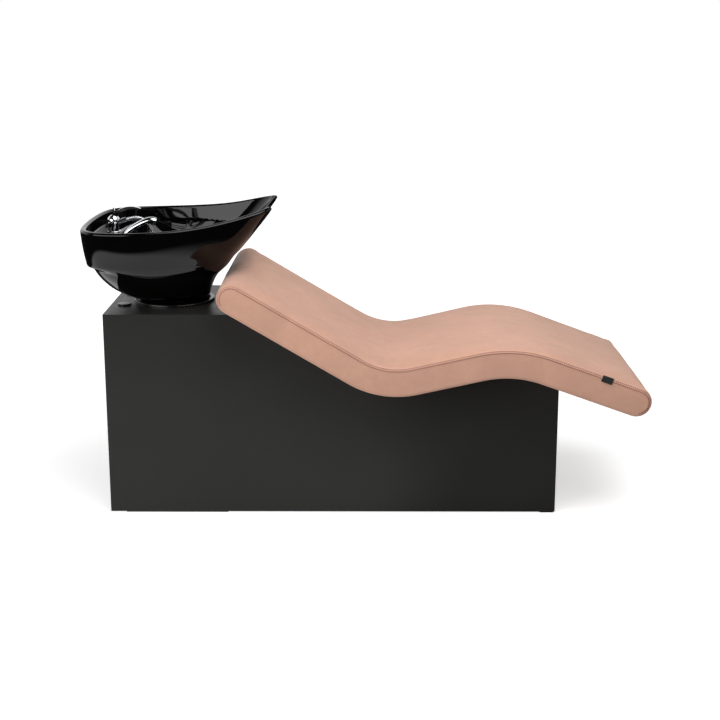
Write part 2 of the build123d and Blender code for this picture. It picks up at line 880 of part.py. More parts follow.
def make_lever():
    body_top = ledge_z + tap_height
    centre = Pos(tap_x, 0, tap_ball_z)
    pin_line = ((tap_x, -lift_pin_half_length, tap_ball_z), (tap_x, lift_pin_half_length, tap_ball_z))
    ball = centre * Sphere(ball_radius)
    cap_inner = ball_radius + lever_cap_gap
    cap_outer = cap_inner + lever_cap_wall
    ball &= block(
        (tap_x - ball_radius, tap_x + ball_radius),
        (-ball_radius, ball_radius),
        (body_top + swivel_gap, tap_ball_z + ball_radius),
    )
    ball -= rod(lift_pin_radius, *pin_line)
    save(ball, "cartridge_ball")
    save(rod(lift_pin_radius, *pin_line), "lift_pin")
    cap = centre * Sphere(cap_outer)
    cap &= block(
        (tap_x - cap_outer, tap_x + cap_outer),
        (-cap_outer, cap_outer),
        (tap_ball_z + lever_cap_skirt, tap_ball_z + cap_outer),
    )
    ear_half = lift_pin_radius + lever_cap_wall / 2
    pin_hole_ends = ((tap_x, -cap_outer, tap_ball_z), (tap_x, cap_outer, tap_ball_z))
    ear_z = (tap_ball_z, tap_ball_z + cap_outer)
    ears = block((tap_x - ear_half, tap_x + ear_half), (-cap_outer, cap_outer), ear_z)
    ears += rod(ear_half, *pin_hole_ends)
    ears &= centre * Sphere(cap_outer)
    cap += ears
    cap -= centre * Sphere(cap_inner)
    cap -= rod(lift_pin_radius + lift_pin_clearance, *pin_hole_ends)
    save(cap, "lever_cap")
    root_x = tap_x - lever_root_back
    tip_x = tap_x + lever_reach
    root_z = tap_ball_z + lever_root_depth
    tip_z = tap_ball_z + lever_rise
    chord = hypot(tip_x - root_x, tip_z - root_z)
    lift = chord * lever_arch_share
    middle_x = (root_x + tip_x) / 2
    middle_z = (root_z + tip_z) / 2
    upper = ThreePointArc((root_x, 0, root_z), (middle_x - lift / 2, 0, middle_z + lift), (tip_x, 0, tip_z))
    low_root = (root_x + lever_root_depth, 0, root_z - lever_root_back)
    low_tip = (tip_x, 0, tip_z - lever_tip_thickness)
    lower_lift = lift - lever_tip_thickness
    low_middle = ((low_root[0] + tip_x) / 2 - lower_lift / 2, 0, (low_root[2] + low_tip[2]) / 2 + lower_lift)
    lower = ThreePointArc(low_root, low_middle, low_tip)
    tip, root = Line(upper @ 1, low_tip), Line(low_root, upper @ 0)
    side = make_face(upper.edges() + lower.edges() + tip.edges() + root.edges())
    blade = extrude(side, lever_half_width, dir=(0, 1, 0), both=True)
    plan_points = (
        (root_x - overrun, -lever_half_width),
        (middle_x, -lever_half_width),
        (tip_x, -lever_tip_half_width),
        (tip_x, lever_tip_half_width),
        (middle_x, lever_half_width),
        (root_x - overrun, lever_half_width),
    )
    plan = make_face(Polyline(*[(x, y, tap_ball_z) for x, y in plan_points], close=True))
    blade &= extrude(plan, overrun + lever_rise, dir=(0, 0, 1), both=True)
    blade = fillet(blade.faces().sort_by(Axis.X)[-1].edges(), lever_edge_round)
    blade -= centre * Sphere(cap_outer)
    save(blade, "lever_blade")
    pin_top = ledge_z + cap_pin_top_rise
    post = rod(cap_pin_radius, (tap_x, cap_pin_set_back, tap_ball_z), (tap_x, cap_pin_set_back, pin_top))
    save(post - centre * Sphere(cap_outer), "cap_pin")


# Along the handset from its tail: forward, up, lean from upright in degrees, half depth, half width
handset_shares = (
    (0.0, 0.25, 0, 0.94, 0.94),
    (0.02, 0.44, 14, 0.90, 0.92),
    (0.165, 0.64, 48, 0.80, 0.98),
    (0.44, 0.84, 62, 0.76, 1.08),
    (0.69, 0.965, 72, 0.84, 1.16),
    (0.86, 0.99, 90, 0.92, 1.16),
    (1.0, 0.945, 111, 1.0, 1.05),
)


def handset_place(share_row):
    along, up, lean, depth, width = share_row
    x = handset_x + handset_reach * along
    z = handset_tail_z + handset_rise * up
    way = (sin(radians(lean)), 0, cos(radians(lean)))
    return Plane((x, handset_y, z), x_dir=(0, 1, 0), z_dir=way)


def make_handset():
    sections = []
    for row in handset_shares:
        depth, width = row[3] * spray_end_radius, row[4] * spray_end_radius
        sections.append((handset_place(row) * Ellipse(width, depth)).wire())
    grip = Solid.make_loft(sections)
    tail_top = handset_tail_z + handset_tail_length
    body = Part() + disc(handset_tail_radius, handset_tail_z, tail_top, handset_x, handset_y)
    body += disc(shoulder_radius, tail_top, tail_top + shoulder_height, handset_x, handset_y)
    body += grip
    end = handset_place(handset_shares[-1])
    seat = extrude(end * Circle(spray_radius), -spray_depth)
    body -= seat
    save(body, "handset_shell")
    save(extrude(end.offset(-spray_depth) * Circle(spray_radius), spray_depth + spray_proud), "spray_face")
    nut_low = hose_points()[-1].Z
    save(disc(hose_nut_radius, nut_low, handset_tail_z, handset_x, handset_y), "handset_hose_nut")


def holder_screw_xy():
    return holder_strap_x() - holder_plate_length + holder_screw_inset, handset_y


def holder_strap_x():
    """The front face of the strap that hangs before the ledge, at the back of the ring."""
    return handset_x - holder_ring_radius - holder_ring_wall


def holder_screw(clearance=0):
    x, y = holder_screw_xy()
    top = ledge_z + holder_plate
    return disc(screw_shank_radius + clearance, top - screw_length - clearance, top, x, y)


def make_holder():
    ring_top = handset_tail_z + handset_tail_length - seat_gap
    ring_low = ring_top - holder_ring_height
    outer = holder_ring_radius + holder_ring_wall
    half = holder_plate_half_width
    y = (handset_y - half, handset_y + half)
    strap_x = holder_strap_x()
    holder = block((strap_x - holder_plate_length, strap_x), y, (ledge_z, ledge_z + holder_plate))
    holder += block((strap_x - holder_strap, strap_x), y, (ring_low, ledge_z + holder_plate))
    neck_y = (handset_y - outer / 2, handset_y + outer / 2)
    holder += block((strap_x - holder_strap, handset_x), neck_y, (ring_low, ring_top))
    holder += disc(outer, ring_low, ring_top, handset_x, handset_y)
    holder -= disc(holder_ring_radius, ring_low, ring_top, handset_x, handset_y)
    holder -= holder_screw()
    save(holder, "handset_holder")
    x, y = holder_screw_xy()
    top = ledge_z + holder_plate
    save(holder_screw() + disc(screw_head_radius, top, top + screw_head_height, x, y), "holder_screw")


def make_hose():
    points = hose_points()
    radii = []
    for before, here, after in zip(points, points[1:], points[2:]):
        turn = (here - before).get_angle(after - here)
        shorter = min((here - before).length, (after - here).length)
        radii.append(hose_bend_share * shorter / tan(radians(turn) / 2))
    path = FilletPolyline(*points, radius=radii)
    start = Plane(path @ 0, z_dir=path % 0)
    hose = sweep(start * Circle(hose_radius), path=path)
    print("hose bend radii", [round(r) for r in radii], "least", round(min(radii), 1))
    section = pi * hose_radius**2
    print("hose length", round(path.length, 1), "volume", round(hose.volume))
    print("section x length", round(section * path.length))
    save(hose, "shower_hose")
    return hose


def main():
    legs, screws = make_brackets()
    save(Compound(legs), "corner_brackets")
    save(Compound(screws), "bracket_screws")
    yoke_screws = make_tilt_mount()
    make_cabinet(screws)
    make_deck(screws, yoke_screws)
    make_service_panel()
    make_cushion()
    make_bowl(plate_bolts(bolt_clearance))
    make_drain()
    make_tap()
    make_lever()
    make_handset()
    make_holder()
    make_hose()


main()
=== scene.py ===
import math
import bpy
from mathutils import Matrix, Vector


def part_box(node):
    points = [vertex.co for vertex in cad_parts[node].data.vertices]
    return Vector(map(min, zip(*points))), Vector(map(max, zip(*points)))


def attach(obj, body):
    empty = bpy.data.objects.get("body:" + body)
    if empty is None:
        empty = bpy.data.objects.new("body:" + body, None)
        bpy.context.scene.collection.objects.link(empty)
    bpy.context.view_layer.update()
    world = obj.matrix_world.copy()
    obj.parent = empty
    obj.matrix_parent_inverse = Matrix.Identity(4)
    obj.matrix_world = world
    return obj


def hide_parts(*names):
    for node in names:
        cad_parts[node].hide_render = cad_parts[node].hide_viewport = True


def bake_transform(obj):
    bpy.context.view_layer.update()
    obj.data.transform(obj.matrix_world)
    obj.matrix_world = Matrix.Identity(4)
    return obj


bl_info = {
    "name": "Hair washing bed",
    "version": (1, 0, 0),
    "blender": (4, 5, 0),
    "location": "3D View > Sidebar > Washing bed",
    "description": "Dresses the packed hair washing bed in its cushion, glazed bowl, hose and finishes",
    "category": "Object",
}

import bmesh
import bpy
import numpy as np
from mathutils import Vector
from mathutils.bvhtree import BVHTree

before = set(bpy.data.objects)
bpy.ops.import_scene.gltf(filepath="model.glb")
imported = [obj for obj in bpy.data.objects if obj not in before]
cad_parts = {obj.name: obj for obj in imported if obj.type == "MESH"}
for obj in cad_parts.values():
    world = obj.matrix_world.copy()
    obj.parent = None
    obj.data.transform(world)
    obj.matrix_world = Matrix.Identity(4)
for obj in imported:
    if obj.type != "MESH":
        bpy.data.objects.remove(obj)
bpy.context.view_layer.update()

# Camera: where the photograph was taken from, and its lens. Pitch and yaw are in degrees
CAMERA_PLACE = (0.0058, -3.8430, 1.4949)
CAMERA_PITCH = 12.64
CAMERA_YAW = -0.246
LENS_PIXELS = 1268.6
FRAME_PIXELS = 720
LENS_SHIFT = -0.09

# Light from all round, the dim studio in reflections, and the edges of their white backdrop
AMBIENT = 0.16
DIM = 0.02
BACKDROP_REAR = (-0.15, 0.25)
BACKDROP_TOP = (0.40, 0.75)

# The floor's glow, by distance from the bed, and the white pool that reflections meet on it
FLOOR_REACH = 9
FLOOR_PAINT = 0.8
GLOW_REACH = (0.9, 3.0)
GLOW = (0.60, 1.0)
POOL_CENTRE = (-1.2, -0.6, 0.0)
POOL_EDGE = (1.2, 1.55)

# Name, place, what it points at, width, height and power of each lamp
LAMPS = (
    ("top_softbox", (0.6, -0.9, 3.0), (0.1, -0.1, 0.5), 2.4, 2.4, 82.0),
    ("left_softbox", (-2.58, -2.31, 1.64), (-0.5, 0.0, 0.87), 2.7, 1.8, 60.0),
)

# Shared places of the bed, in metres
BOWL_AXIS = -0.585
DECK_TOP = 0.62
EAR_REACH = 0.339
REAR_REACH = 0.259
BOWL_HALF_WIDTH = 0.274
RIM_WALL = 0.017
LEDGE_TOP = 0.833
LEDGE_FRONT = 0.155
HOSE_ROUTE = (
    (-0.729, 0.008, 0.869), (-0.711, 0.014, 0.8742), (-0.6916, 0.025, 0.8723), (-0.673, 0.038, 0.859),
    (-0.661, 0.053, 0.833), (-0.646, 0.070, 0.795), (-0.620, 0.082, 0.762), (-0.580, 0.084, 0.736),
    (-0.538, 0.062, 0.720), (-0.514, 0.018, 0.7095), (-0.520, -0.032, 0.7045), (-0.556, -0.068, 0.7035),
    (-0.604, -0.084, 0.7045), (-0.646, -0.086, 0.709), (-0.681, -0.083, 0.720), (-0.704, -0.081, 0.738),
    (-0.715, -0.080, 0.762), (-0.715, -0.080, 0.786),
)
# Radii of the rings that make one rib of the hose, as shares of the hose's own
RIB_SHARES = (1.0, 0.965, 0.90, 0.965)
HOSE_SIDES = 12

# The cushion's middle line seen from the side, and the radii of its two bends
CUSHION_LINE = ((-0.380, 0.684), (0.0583, 0.4222), (0.4414, 0.507), (0.800, 0.378))
CUSHION_RADII = (0.235, 0.355)
CUSHION_HALF = 0.045

# The cover as cloth, filled by pressure, and for how many frames
CLOTH = {
    "quality": 5, "mass": 0.3, "tension_stiffness": 40, "compression_stiffness": 40,
    "shear_stiffness": 20, "bending_stiffness": 2.0, "use_pressure": True,
    "uniform_pressure_force": 4.0, "vertex_group_mass": "sewn",
}
CLOTH_FRAMES = 20

# Stitches, as shares of their pitch and of half the thread's width, and the crease between them
STITCH_REACH = 0.43
THREAD_SECTION = ((1, 0), (0, 1), (-1, 0), (0, -1))
THREAD_LIFT = 0.2
CREASE_PITCH = 0.005
CREASE_SECTION = ((-0.0009, 0.0002), (0.0, -0.0002), (0.0009, 0.0002))
# The crease's colour is the leather a little darker: painted shade in the groove
CREASE_PAINTED_SHADE = 0.92

# The tag's length, thickness and height, and how far it curls
TAG_SIZE = (0.034, 0.0012, 0.020)
TAG_CURL = 0.0007

# Plan of the bowl as shares: along its length from the rear, and half its width
PLAN_SHARES = (
    (0.0, 0.0), (0.004, 0.30), (0.016, 0.56), (0.05, 0.79), (0.12, 0.925), (0.23, 0.985), (0.38, 1.0),
    (0.55, 0.957), (0.70, 0.86), (0.84, 0.735), (0.94, 0.62), (0.985, 0.49), (1.0, 0.27), (1.0, 0.0),
)

# Height, rear reach, front reach, half width and roundness of the bowl at each level
HULL_LEVELS = (
    (0.63562, 0.49, 0.316, 0.41, 1.0),
    (0.64982, 0.60, 0.327, 0.49, 0.9),
    (0.66686, 0.70, 0.345, 0.577, 0.75),
    (0.68958, 0.788, 0.375, 0.67, 0.6),
    (0.72224, 0.861, 0.445, 0.80, 0.4),
    (0.76200, 0.911, 0.552, 0.905, 0.2),
)
APRON_LEVELS = (
    (0.75608, 0.95, 0.54, 0.94, 0.15),
    (0.79993, 0.973, 0.652, 0.97, 0.06),
    (0.87200, 1.0, 0.823, 0.993, 0.0),
    (0.94508, 1.015, 1.0, 1.0, 0.0),
)
WELL_LEVELS = (
    (0.83294, 0.988, 0.729, 0.982, 0.03),
    (0.87200, 1.0, 0.823, 0.993, 0.0),
    (0.95012, 1.015, 1.012, 1.0, 0.0),
)
BASIN_LEVELS = (
    (0.69796, 0.535, 0.236, 0.285, 1.0),
    (0.70392, 0.78, 0.286, 0.43, 0.95),
    (0.71606, 0.91, 0.327, 0.57, 0.8),
    (0.73992, 0.968, 0.413, 0.737, 0.6),
    (0.77506, 0.987, 0.517, 0.85, 0.3),
    (0.81191, 0.997, 0.608, 0.893, 0.12),
    (0.84003, 1.0, 0.673, 0.897, 0.08),
)
RIM_LINE = (
    (-0.8739, 0.872), (-0.7244, 0.872), (-0.62573, 0.87396), (-0.52706, 0.87956),
    (-0.4254, 0.89188), (-0.32613, 0.91288), (-0.2759, 0.92576), (-0.22806, 0.9392),
)

# The rim's roll, and the saddle for the neck, which the rim meets softly
RIM_ROLL = 0.007
SADDLE_HALF = 0.119
SADDLE_TIPS = 0.937
SADDLE_DEPTH = 0.085
SADDLE_END = -0.40
SADDLE_SLOPE = 6.0
SADDLE_SOFT = 0.014

# Heights of the outside's rows below the apron, and of the basin's: from, to and step
HULL_BANDS = ((0.608, 0.66, 0.0015), (0.66, 0.745, 0.004), (0.745, 0.775, 0.0012))
BASIN_BANDS = ((LEDGE_TOP, 0.72, -0.003), (0.72, 0.6985, -0.0012))

# The foot is a cone above the deck, softly joined to the hull, which is drawn in below a height
FOOT_RADII = (0.103, 0.119)
FOOT_HEIGHT = 0.07
FOOT_SOFT = 0.006
UNDERSIDE = 0.6372
UNDERSIDE_DEPTH = 0.006
UNDERSIDE_SLOPE = 8.0

# The step under the apron fades between two angles from the rear, in degrees, as its levels part
STEP_LEVELS = (0.7545, 0.7625)
STEP_SPREAD = (0.045, 0.035)
STEP_FADE = (40, 85)

# The well ends just above the ledge. Where the ledge would be narrow, the basin widens to the well
LEDGE_GAP = 0.0005
LEDGE_WIDTHS = (0.010, 0.060)
WIDENED_FROM = 0.745
BASIN_FLOOR = 0.698
DRAIN_RADIUS = 0.0374

# Radius and height of each ring from the drain's recess through the waste to the foot's cavity
WASTE_LEVELS = (
    (0.0369, 0.6974), (0.0368, 0.6930), (0.0300, 0.6930), (0.0226, 0.6930), (0.0225, 0.6800),
    (0.0225, 0.6680), (0.0300, 0.6680), (0.0600, 0.6680), (0.0900, 0.6680), (0.0930, 0.6650),
    (0.0930, 0.6400), (0.0930, 0.6100), (0.0940, 0.6080), (0.1020, 0.6080),
)

# Bay under the ledge for the tap's nut and inlets, and the hole for its shank
BAY_CENTRE = (-0.783, 0.0, 0.7175)
BAY_SIZE = (0.062, 0.14, 0.195)
BAY_CORNER = 0.008
SHANK_PLACE = (-0.766, 0.0, 0.825)
SHANK_RADIUS = 0.0145
SHANK_LENGTH = 0.05

# Most values of a noise texture lie between these
NOISE_LOW = 0.3
NOISE_HIGH = 0.7


class BedColours(bpy.types.PropertyGroup):
    leather: bpy.props.FloatVectorProperty(
        name="Leather", description="Dusty pink of the cushion's cover",
        default=(0.60, 0.335, 0.238), subtype="COLOR", min=0.0, max=1.0,
    )
    thread: bpy.props.FloatVectorProperty(
        name="Thread", description="Twin rows of stitches along the seam",
        default=(0.17, 0.042, 0.032), subtype="COLOR", min=0.0, max=1.0,
    )
    laminate: bpy.props.FloatVectorProperty(
        name="Laminate", description="Near-black board of the cabinet",
        default=(0.0220, 0.0220, 0.0210), subtype="COLOR", min=0.0, max=1.0,
    )
    glaze: bpy.props.FloatVectorProperty(
        name="Glaze", description="Black glaze of the bowl",
        default=(0.0012, 0.0012, 0.0012), subtype="COLOR", min=0.0, max=1.0,
    )
    tag: bpy.props.FloatVectorProperty(
        name="Tag", description="Blank woven tag in the seam",
        default=(0.006, 0.006, 0.006), subtype="COLOR", min=0.0, max=1.0,
    )


class BedSizes(bpy.types.PropertyGroup):
    cushion_width: bpy.props.FloatProperty(
        name="Cushion width", description="Width across the couch", default=0.594, unit="LENGTH",
    )
    cushion_edge: bpy.props.FloatProperty(
        name="Cushion edge", description="Rounding of the long edges", default=0.013, unit="LENGTH",
    )
    cushion_crown: bpy.props.FloatProperty(
        name="Cushion crown", description="How much the top panel rises in the middle", default=0.006,
        unit="LENGTH",
    )
    puff_limit: bpy.props.FloatProperty(
        name="Puff limit", description="How far stuffing may push the cover out", default=0.005,
        unit="LENGTH",
    )
    stitch_pitch: bpy.props.FloatProperty(
        name="Stitch pitch", description="From one stitch to the next", default=0.006, unit="LENGTH",
    )
    stitch_rows: bpy.props.FloatProperty(
        name="Stitch rows", description="From the seam to each row of stitches", default=0.0036,
        unit="LENGTH",
    )
    thread_width: bpy.props.FloatProperty(
        name="Thread width", description="Width of the stitches' thread", default=0.0026, unit="LENGTH",
    )
    seam_inset: bpy.props.FloatProperty(
        name="Seam inset", description="From the side's outline in to its seam", default=0.0085,
        unit="LENGTH",
    )
    seam_depth: bpy.props.FloatProperty(
        name="Seam depth", description="How far the seam sinks into the stuffing", default=0.0006,
        unit="LENGTH",
    )
    hose_width: bpy.props.FloatProperty(
        name="Hose width", description="Diameter of the shower hose", default=0.010, unit="LENGTH",
    )
    rib_pitch: bpy.props.FloatProperty(
        name="Rib pitch", description="From one rib of the hose to the next", default=0.0024,
        unit="LENGTH",
    )


# ---- finishes


class Nodes:
    """A node tree, with short ways to add nodes and links to it."""

    def __init__(self, tree):
        self.tree = tree

    def node(self, kind, **values):
        made = self.tree.nodes.new(kind)
        for socket, value in values.items():
            made.inputs[socket.replace("_", " ")].default_value = value
        return made

    def join(self, source, target):
        self.tree.links.new(source, target)


class Finish(Nodes):
    """A material whose colour, roughness and relief come from procedural textures."""

    def __init__(self, name, roughness=0.5, metallic=0.0, **sockets):
        self.material = bpy.data.materials.new(name)
        self.material.use_nodes = True
        super().__init__(self.material.node_tree)
        self.shader = self.tree.nodes["Principled BSDF"]
        for socket, value in {"Roughness": roughness, "Metallic": metallic, **sockets}.items():
            self.shader.inputs[socket.replace("_", " ")].default_value = value
        self.place = self.node("ShaderNodeTexCoord").outputs["Object"]

    def stretched(self, scale):
        mapping = self.node("ShaderNodeMapping")
        mapping.inputs["Scale"].default_value = scale
        self.join(self.place, mapping.inputs["Vector"])
        return mapping.outputs["Vector"]

    def noise(self, scale, detail=2.0, roughness=0.5, distortion=0.0, place=None):
        made = self.node(
            "ShaderNodeTexNoise", Scale=scale, Detail=detail, Roughness=roughness, Distortion=distortion,
        )
        self.join(place or self.place, made.inputs["Vector"])
        return made.outputs["Fac"]

    def cells(self, scale):
        made = self.node("ShaderNodeTexVoronoi", Scale=scale)
        self.join(self.place, made.inputs["Vector"])
        return made.outputs["Distance"]

    def wave(self, scale, direction):
        made = self.node("ShaderNodeTexWave", Scale=scale)
        made.bands_direction = direction
        self.join(self.place, made.inputs["Vector"])
        return made.outputs["Fac"]

    def ramp(self, factor, stops):
        made = self.node("ShaderNodeValToRGB")
        ends = made.color_ramp.elements
        while len(ends) < len(stops):
            ends.new(0.5)
        for element, (at, colour) in zip(ends, stops):
            element.position = at
            element.color = (*colour, 1.0)
        self.join(factor, made.inputs["Fac"])
        return made.outputs["Color"]

    def multiply(self, first, second):
        made = self.node("ShaderNodeMix")
        made.data_type = "RGBA"
        made.blend_type = "MULTIPLY"
        made.inputs["Factor"].default_value = 1.0
        # The mix node has sockets for each kind of value; these carry colours
        self.join(first, made.inputs[6])
        self.join(second, made.inputs[7])
        return made.outputs[2]

    def colour(self, output):
        self.join(output, self.shader.inputs["Base Color"])
        return self

    def tones(self, base, factor, spread, low=NOISE_LOW, high=NOISE_HIGH):
        """The base colour, a share darker and lighter as the factor goes from low to high."""
        dark = [c * (1 - spread) for c in base]
        light = [min(1.0, c * (1 + spread)) for c in base]
        return self.ramp(factor, ((low, dark), (high, light)))

    def tint(self, *tones):
        return self.colour(self.tones(*tones))

    def sheen_range(self, factor, low, high):
        made = self.node(
            "ShaderNodeMapRange", From_Min=NOISE_LOW, From_Max=NOISE_HIGH, To_Min=low, To_Max=high,
        )
        self.join(factor, made.inputs["Value"])
        self.join(made.outputs["Result"], self.shader.inputs["Roughness"])
        return self

    def relief(self, height, strength, depth):
        made = self.node("ShaderNodeBump", Strength=strength, Distance=depth)
        self.join(height, made.inputs["Height"])
        normal = self.shader.inputs["Normal"]
        if normal.is_linked:
            self.join(normal.links[0].from_socket, made.inputs["Normal"])
        self.join(made.outputs["Normal"], normal)
        return self


def colours():
    return bpy.context.scene.bed_colours


def sizes():
    return bpy.context.scene.bed_sizes


def pink_leather():
    made = Finish("pink_leather", Sheen_Weight=0.22, Sheen_Roughness=0.45, Specular_IOR_Level=0.40)
    clouds = made.tones(colours().leather, made.noise(7.0, 4.0, 0.6, 0.4), 0.055, 0.35, 0.65)
    mottle = made.tones((1.0, 1.0, 1.0), made.noise(75.0, 5.0, 0.7, 0.6), 0.05, 0.35, 0.65)
    made.colour(made.multiply(clouds, mottle))
    made.sheen_range(made.noise(30.0, 4.0), 0.52, 0.70)
    made.relief(made.noise(16.0, 2.0, 0.5, 1.2), 0.12, 0.006)
    made.relief(made.cells(620.0), 0.25, 0.0004)
    return made.relief(made.noise(1700.0, 2.0), 0.15, 0.0002)


def seam_thread():
    made = Finish("seam_thread", 0.75, Sheen_Weight=0.2)
    made.tint(colours().thread, made.noise(400.0), 0.2)
    return made.relief(made.wave(900.0, "DIAGONAL"), 0.4, 0.0002)


def seam_crease():
    made = Finish("seam_crease", 0.8)
    # Painted shade: the groove gets the leather's colour, darkened a little
    base = [c * CREASE_PAINTED_SHADE for c in colours().leather]
    made.tint(base, made.noise(90.0), 0.15)
    return made.relief(made.noise(900.0), 0.3, 0.0003)


def black_tag():
    made = Finish("black_tag", 0.85, Sheen_Weight=0.3)
    made.tint(colours().tag, made.noise(500.0), 0.4)
    made.relief(made.wave(420.0, "X"), 0.5, 0.0003)
    return made.relief(made.wave(420.0, "Z"), 0.5, 0.0003)


def dark_laminate():
    made = Finish("dark_laminate", 0.45, Specular_IOR_Level=0.14)
    made.tint(colours().laminate, made.noise(3.0, 3.0), 0.06)
    made.sheen_range(made.noise(45.0, 3.0), 0.29, 0.36)
    return made.relief(made.noise(1100.0, 2.0), 0.12, 0.0002)


def plywood():
    made = Finish("plywood", 0.6)
    grain = made.noise(12.0, 6.0, 0.65, 0.8, made.stretched((1.2, 14.0, 14.0)))
    made.colour(made.ramp(grain, (
        (0.3, (0.36, 0.23, 0.12)), (0.5, (0.56, 0.40, 0.24)), (0.7, (0.68, 0.52, 0.34)),
    )))
    made.sheen_range(grain, 0.5, 0.7)
    return made.relief(made.noise(60.0, 5.0, 0.6, 0.0, made.stretched((1.0, 12.0, 12.0))), 0.2, 0.0006)


def black_glaze():
    made = Finish("black_glaze", 0.04, IOR=1.36)
    made.tint(colours().glaze, made.noise(18.0, 2.0), 0.15)
    made.sheen_range(made.noise(9.0, 2.0), 0.025, 0.05)
    return made.relief(made.noise(11.0, 1.0), 0.03, 0.004)


def black_plastic():
    made = Finish("black_plastic", 0.25, IOR=1.45)
    made.tint((0.006, 0.006, 0.006), made.noise(40.0), 0.2)
    made.sheen_range(made.noise(60.0, 3.0), 0.16, 0.28)
    return made.relief(made.noise(900.0), 0.04, 0.0002)


def chrome():
    made = Finish("chrome", 0.08, 1.0)
    made.tint((0.80, 0.81, 0.83), made.noise(30.0), 0.03)
    made.sheen_range(made.noise(120.0, 3.0), 0.05, 0.11)
    return made.relief(made.noise(60.0), 0.02, 0.0004)


def hose_steel():
    made = Finish("hose_steel", 0.2, 1.0)
    made.tint((0.66, 0.67, 0.69), made.noise(200.0), 0.08)
    return made.sheen_range(made.noise(300.0, 3.0), 0.14, 0.26)


def bracket_steel():
    made = Finish("bracket_steel", 0.4, 1.0)
    made.tint((0.52, 0.52, 0.51), made.cells(160.0), 0.12, 0.2, 0.8)
    made.sheen_range(made.noise(150.0, 3.0), 0.3, 0.5)
    return made.relief(made.noise(700.0), 0.1, 0.0002)


def yoke_paint():
    made = Finish("yoke_paint", 0.5)
    made.tint((0.014, 0.014, 0.014), made.noise(20.0), 0.2)
    made.sheen_range(made.noise(80.0), 0.42, 0.58)
    return made.relief(made.noise(800.0, 2.0), 0.35, 0.0004)


def spray_rubber():
    made = Finish("spray_rubber", 0.7)
    made.tint((0.02, 0.02, 0.02), made.noise(150.0), 0.3)
    return made.relief(made.cells(420.0), 0.6, 0.0008)


def pipe_plastic():
    made = Finish("pipe_plastic", 0.45)
    made.tint((0.62, 0.62, 0.59), made.noise(25.0), 0.06)
    made.sheen_range(made.noise(50.0), 0.38, 0.52)
    return made.relief(made.noise(500.0), 0.08, 0.0003)


def brass():
    made = Finish("brass", 0.3, 1.0)
    made.tint((0.72, 0.50, 0.20), made.noise(60.0), 0.12)
    made.sheen_range(made.noise(90.0), 0.22, 0.4)
    return made.relief(made.wave(600.0, "Z"), 0.1, 0.0002)


MAKERS = {maker.__name__: maker for maker in (
    pink_leather, seam_thread, seam_crease, black_tag, dark_laminate, plywood, black_glaze,
    black_plastic, chrome, hose_steel, bracket_steel, yoke_paint, spray_rubber, pipe_plastic, brass,
)}
FINISHES = {}


def finish_named(name):
    """The material of a finish, made once."""
    if name not in FINISHES:
        FINISHES[name] = MAKERS[name]().material
    return FINISHES[name]


# ---- shared mesh work


def coat(piece, finish):
    piece.data.materials.clear()
    piece.data.materials.append(finish_named(finish))


def dress(piece, body, slot, finish=None, angle=0):
    """Gives a new piece its finish, body and smooth shading, with sharp edges over an angle."""
    coat(piece, finish or slot)
    piece.data.shade_smooth()
    if angle:
        piece.data.set_sharp_from_angle(angle=math.radians(angle))
    if body:
        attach(piece, body)


def placed(name, data):
    """A new object of the scene."""
    made = bpy.data.objects.new(name, data)
    bpy.context.scene.collection.objects.link(made)
    return made


def piece_from(name, points, faces):
    mesh = bpy.data.meshes.new(name)
    mesh.from_pydata([tuple(p) for p in points], [], faces)
    mesh.validate()
    return placed(name, mesh)


def face_out(piece):
    work = bmesh.new()
    work.from_mesh(piece.data)
    bmesh.ops.recalc_face_normals(work, faces=work.faces)
    work.to_mesh(piece.data)
    work.free()


def bake_modifiers(piece):
    """Puts the modified mesh in place of the plain one."""
    graph = bpy.context.evaluated_depsgraph_get()
    mesh = bpy.data.meshes.new_from_object(piece.evaluated_get(graph))
    piece.modifiers.clear()
    piece.data = mesh
    mesh.name = piece.name


def natural_spline(places, values, at):
    """Values of a natural cubic spline through rows of values, at new places."""
    places = np.asarray(places, float)
    values = np.asarray(values, float)
    count = len(places)
    gaps = np.diff(places)
    matrix = np.eye(count)
    right = np.zeros_like(values)
    for i in range(1, count - 1):
        matrix[i, i - 1:i + 2] = gaps[i - 1], 2 * (gaps[i - 1] + gaps[i]), gaps[i]
        right[i] = 6 * ((values[i + 1] - values[i]) / gaps[i] - (values[i] - values[i - 1]) / gaps[i - 1])
    bend = np.linalg.solve(matrix, right)
    at = np.clip(at, places[0], places[-1])
    i = np.clip(np.searchsorted(places, at) - 1, 0, count - 2)
    gap = gaps[i]
    before, after = (places[i + 1] - at) / gap, (at - places[i]) / gap
    shape = (-1,) + (1,) * (values.ndim - 1)
    before, after, gap = before.reshape(shape), after.reshape(shape), gap.reshape(shape)
    curve = (before**3 - before) * bend[i] + (after**3 - after) * bend[i + 1]
    return before * values[i] + after * values[i + 1] + curve * gap**2 / 6


def ring_faces(rows, columns, closed_rows=False):
    """Quads between rows of closed rings."""
    faces = []
    for i in range(rows if closed_rows else rows - 1):
        here, above = i * columns, (i + 1) % rows * columns
        for j in range(columns):
            k = (j + 1) % columns
            faces.append((here + j, here + k, above + k, above + j))
    return faces


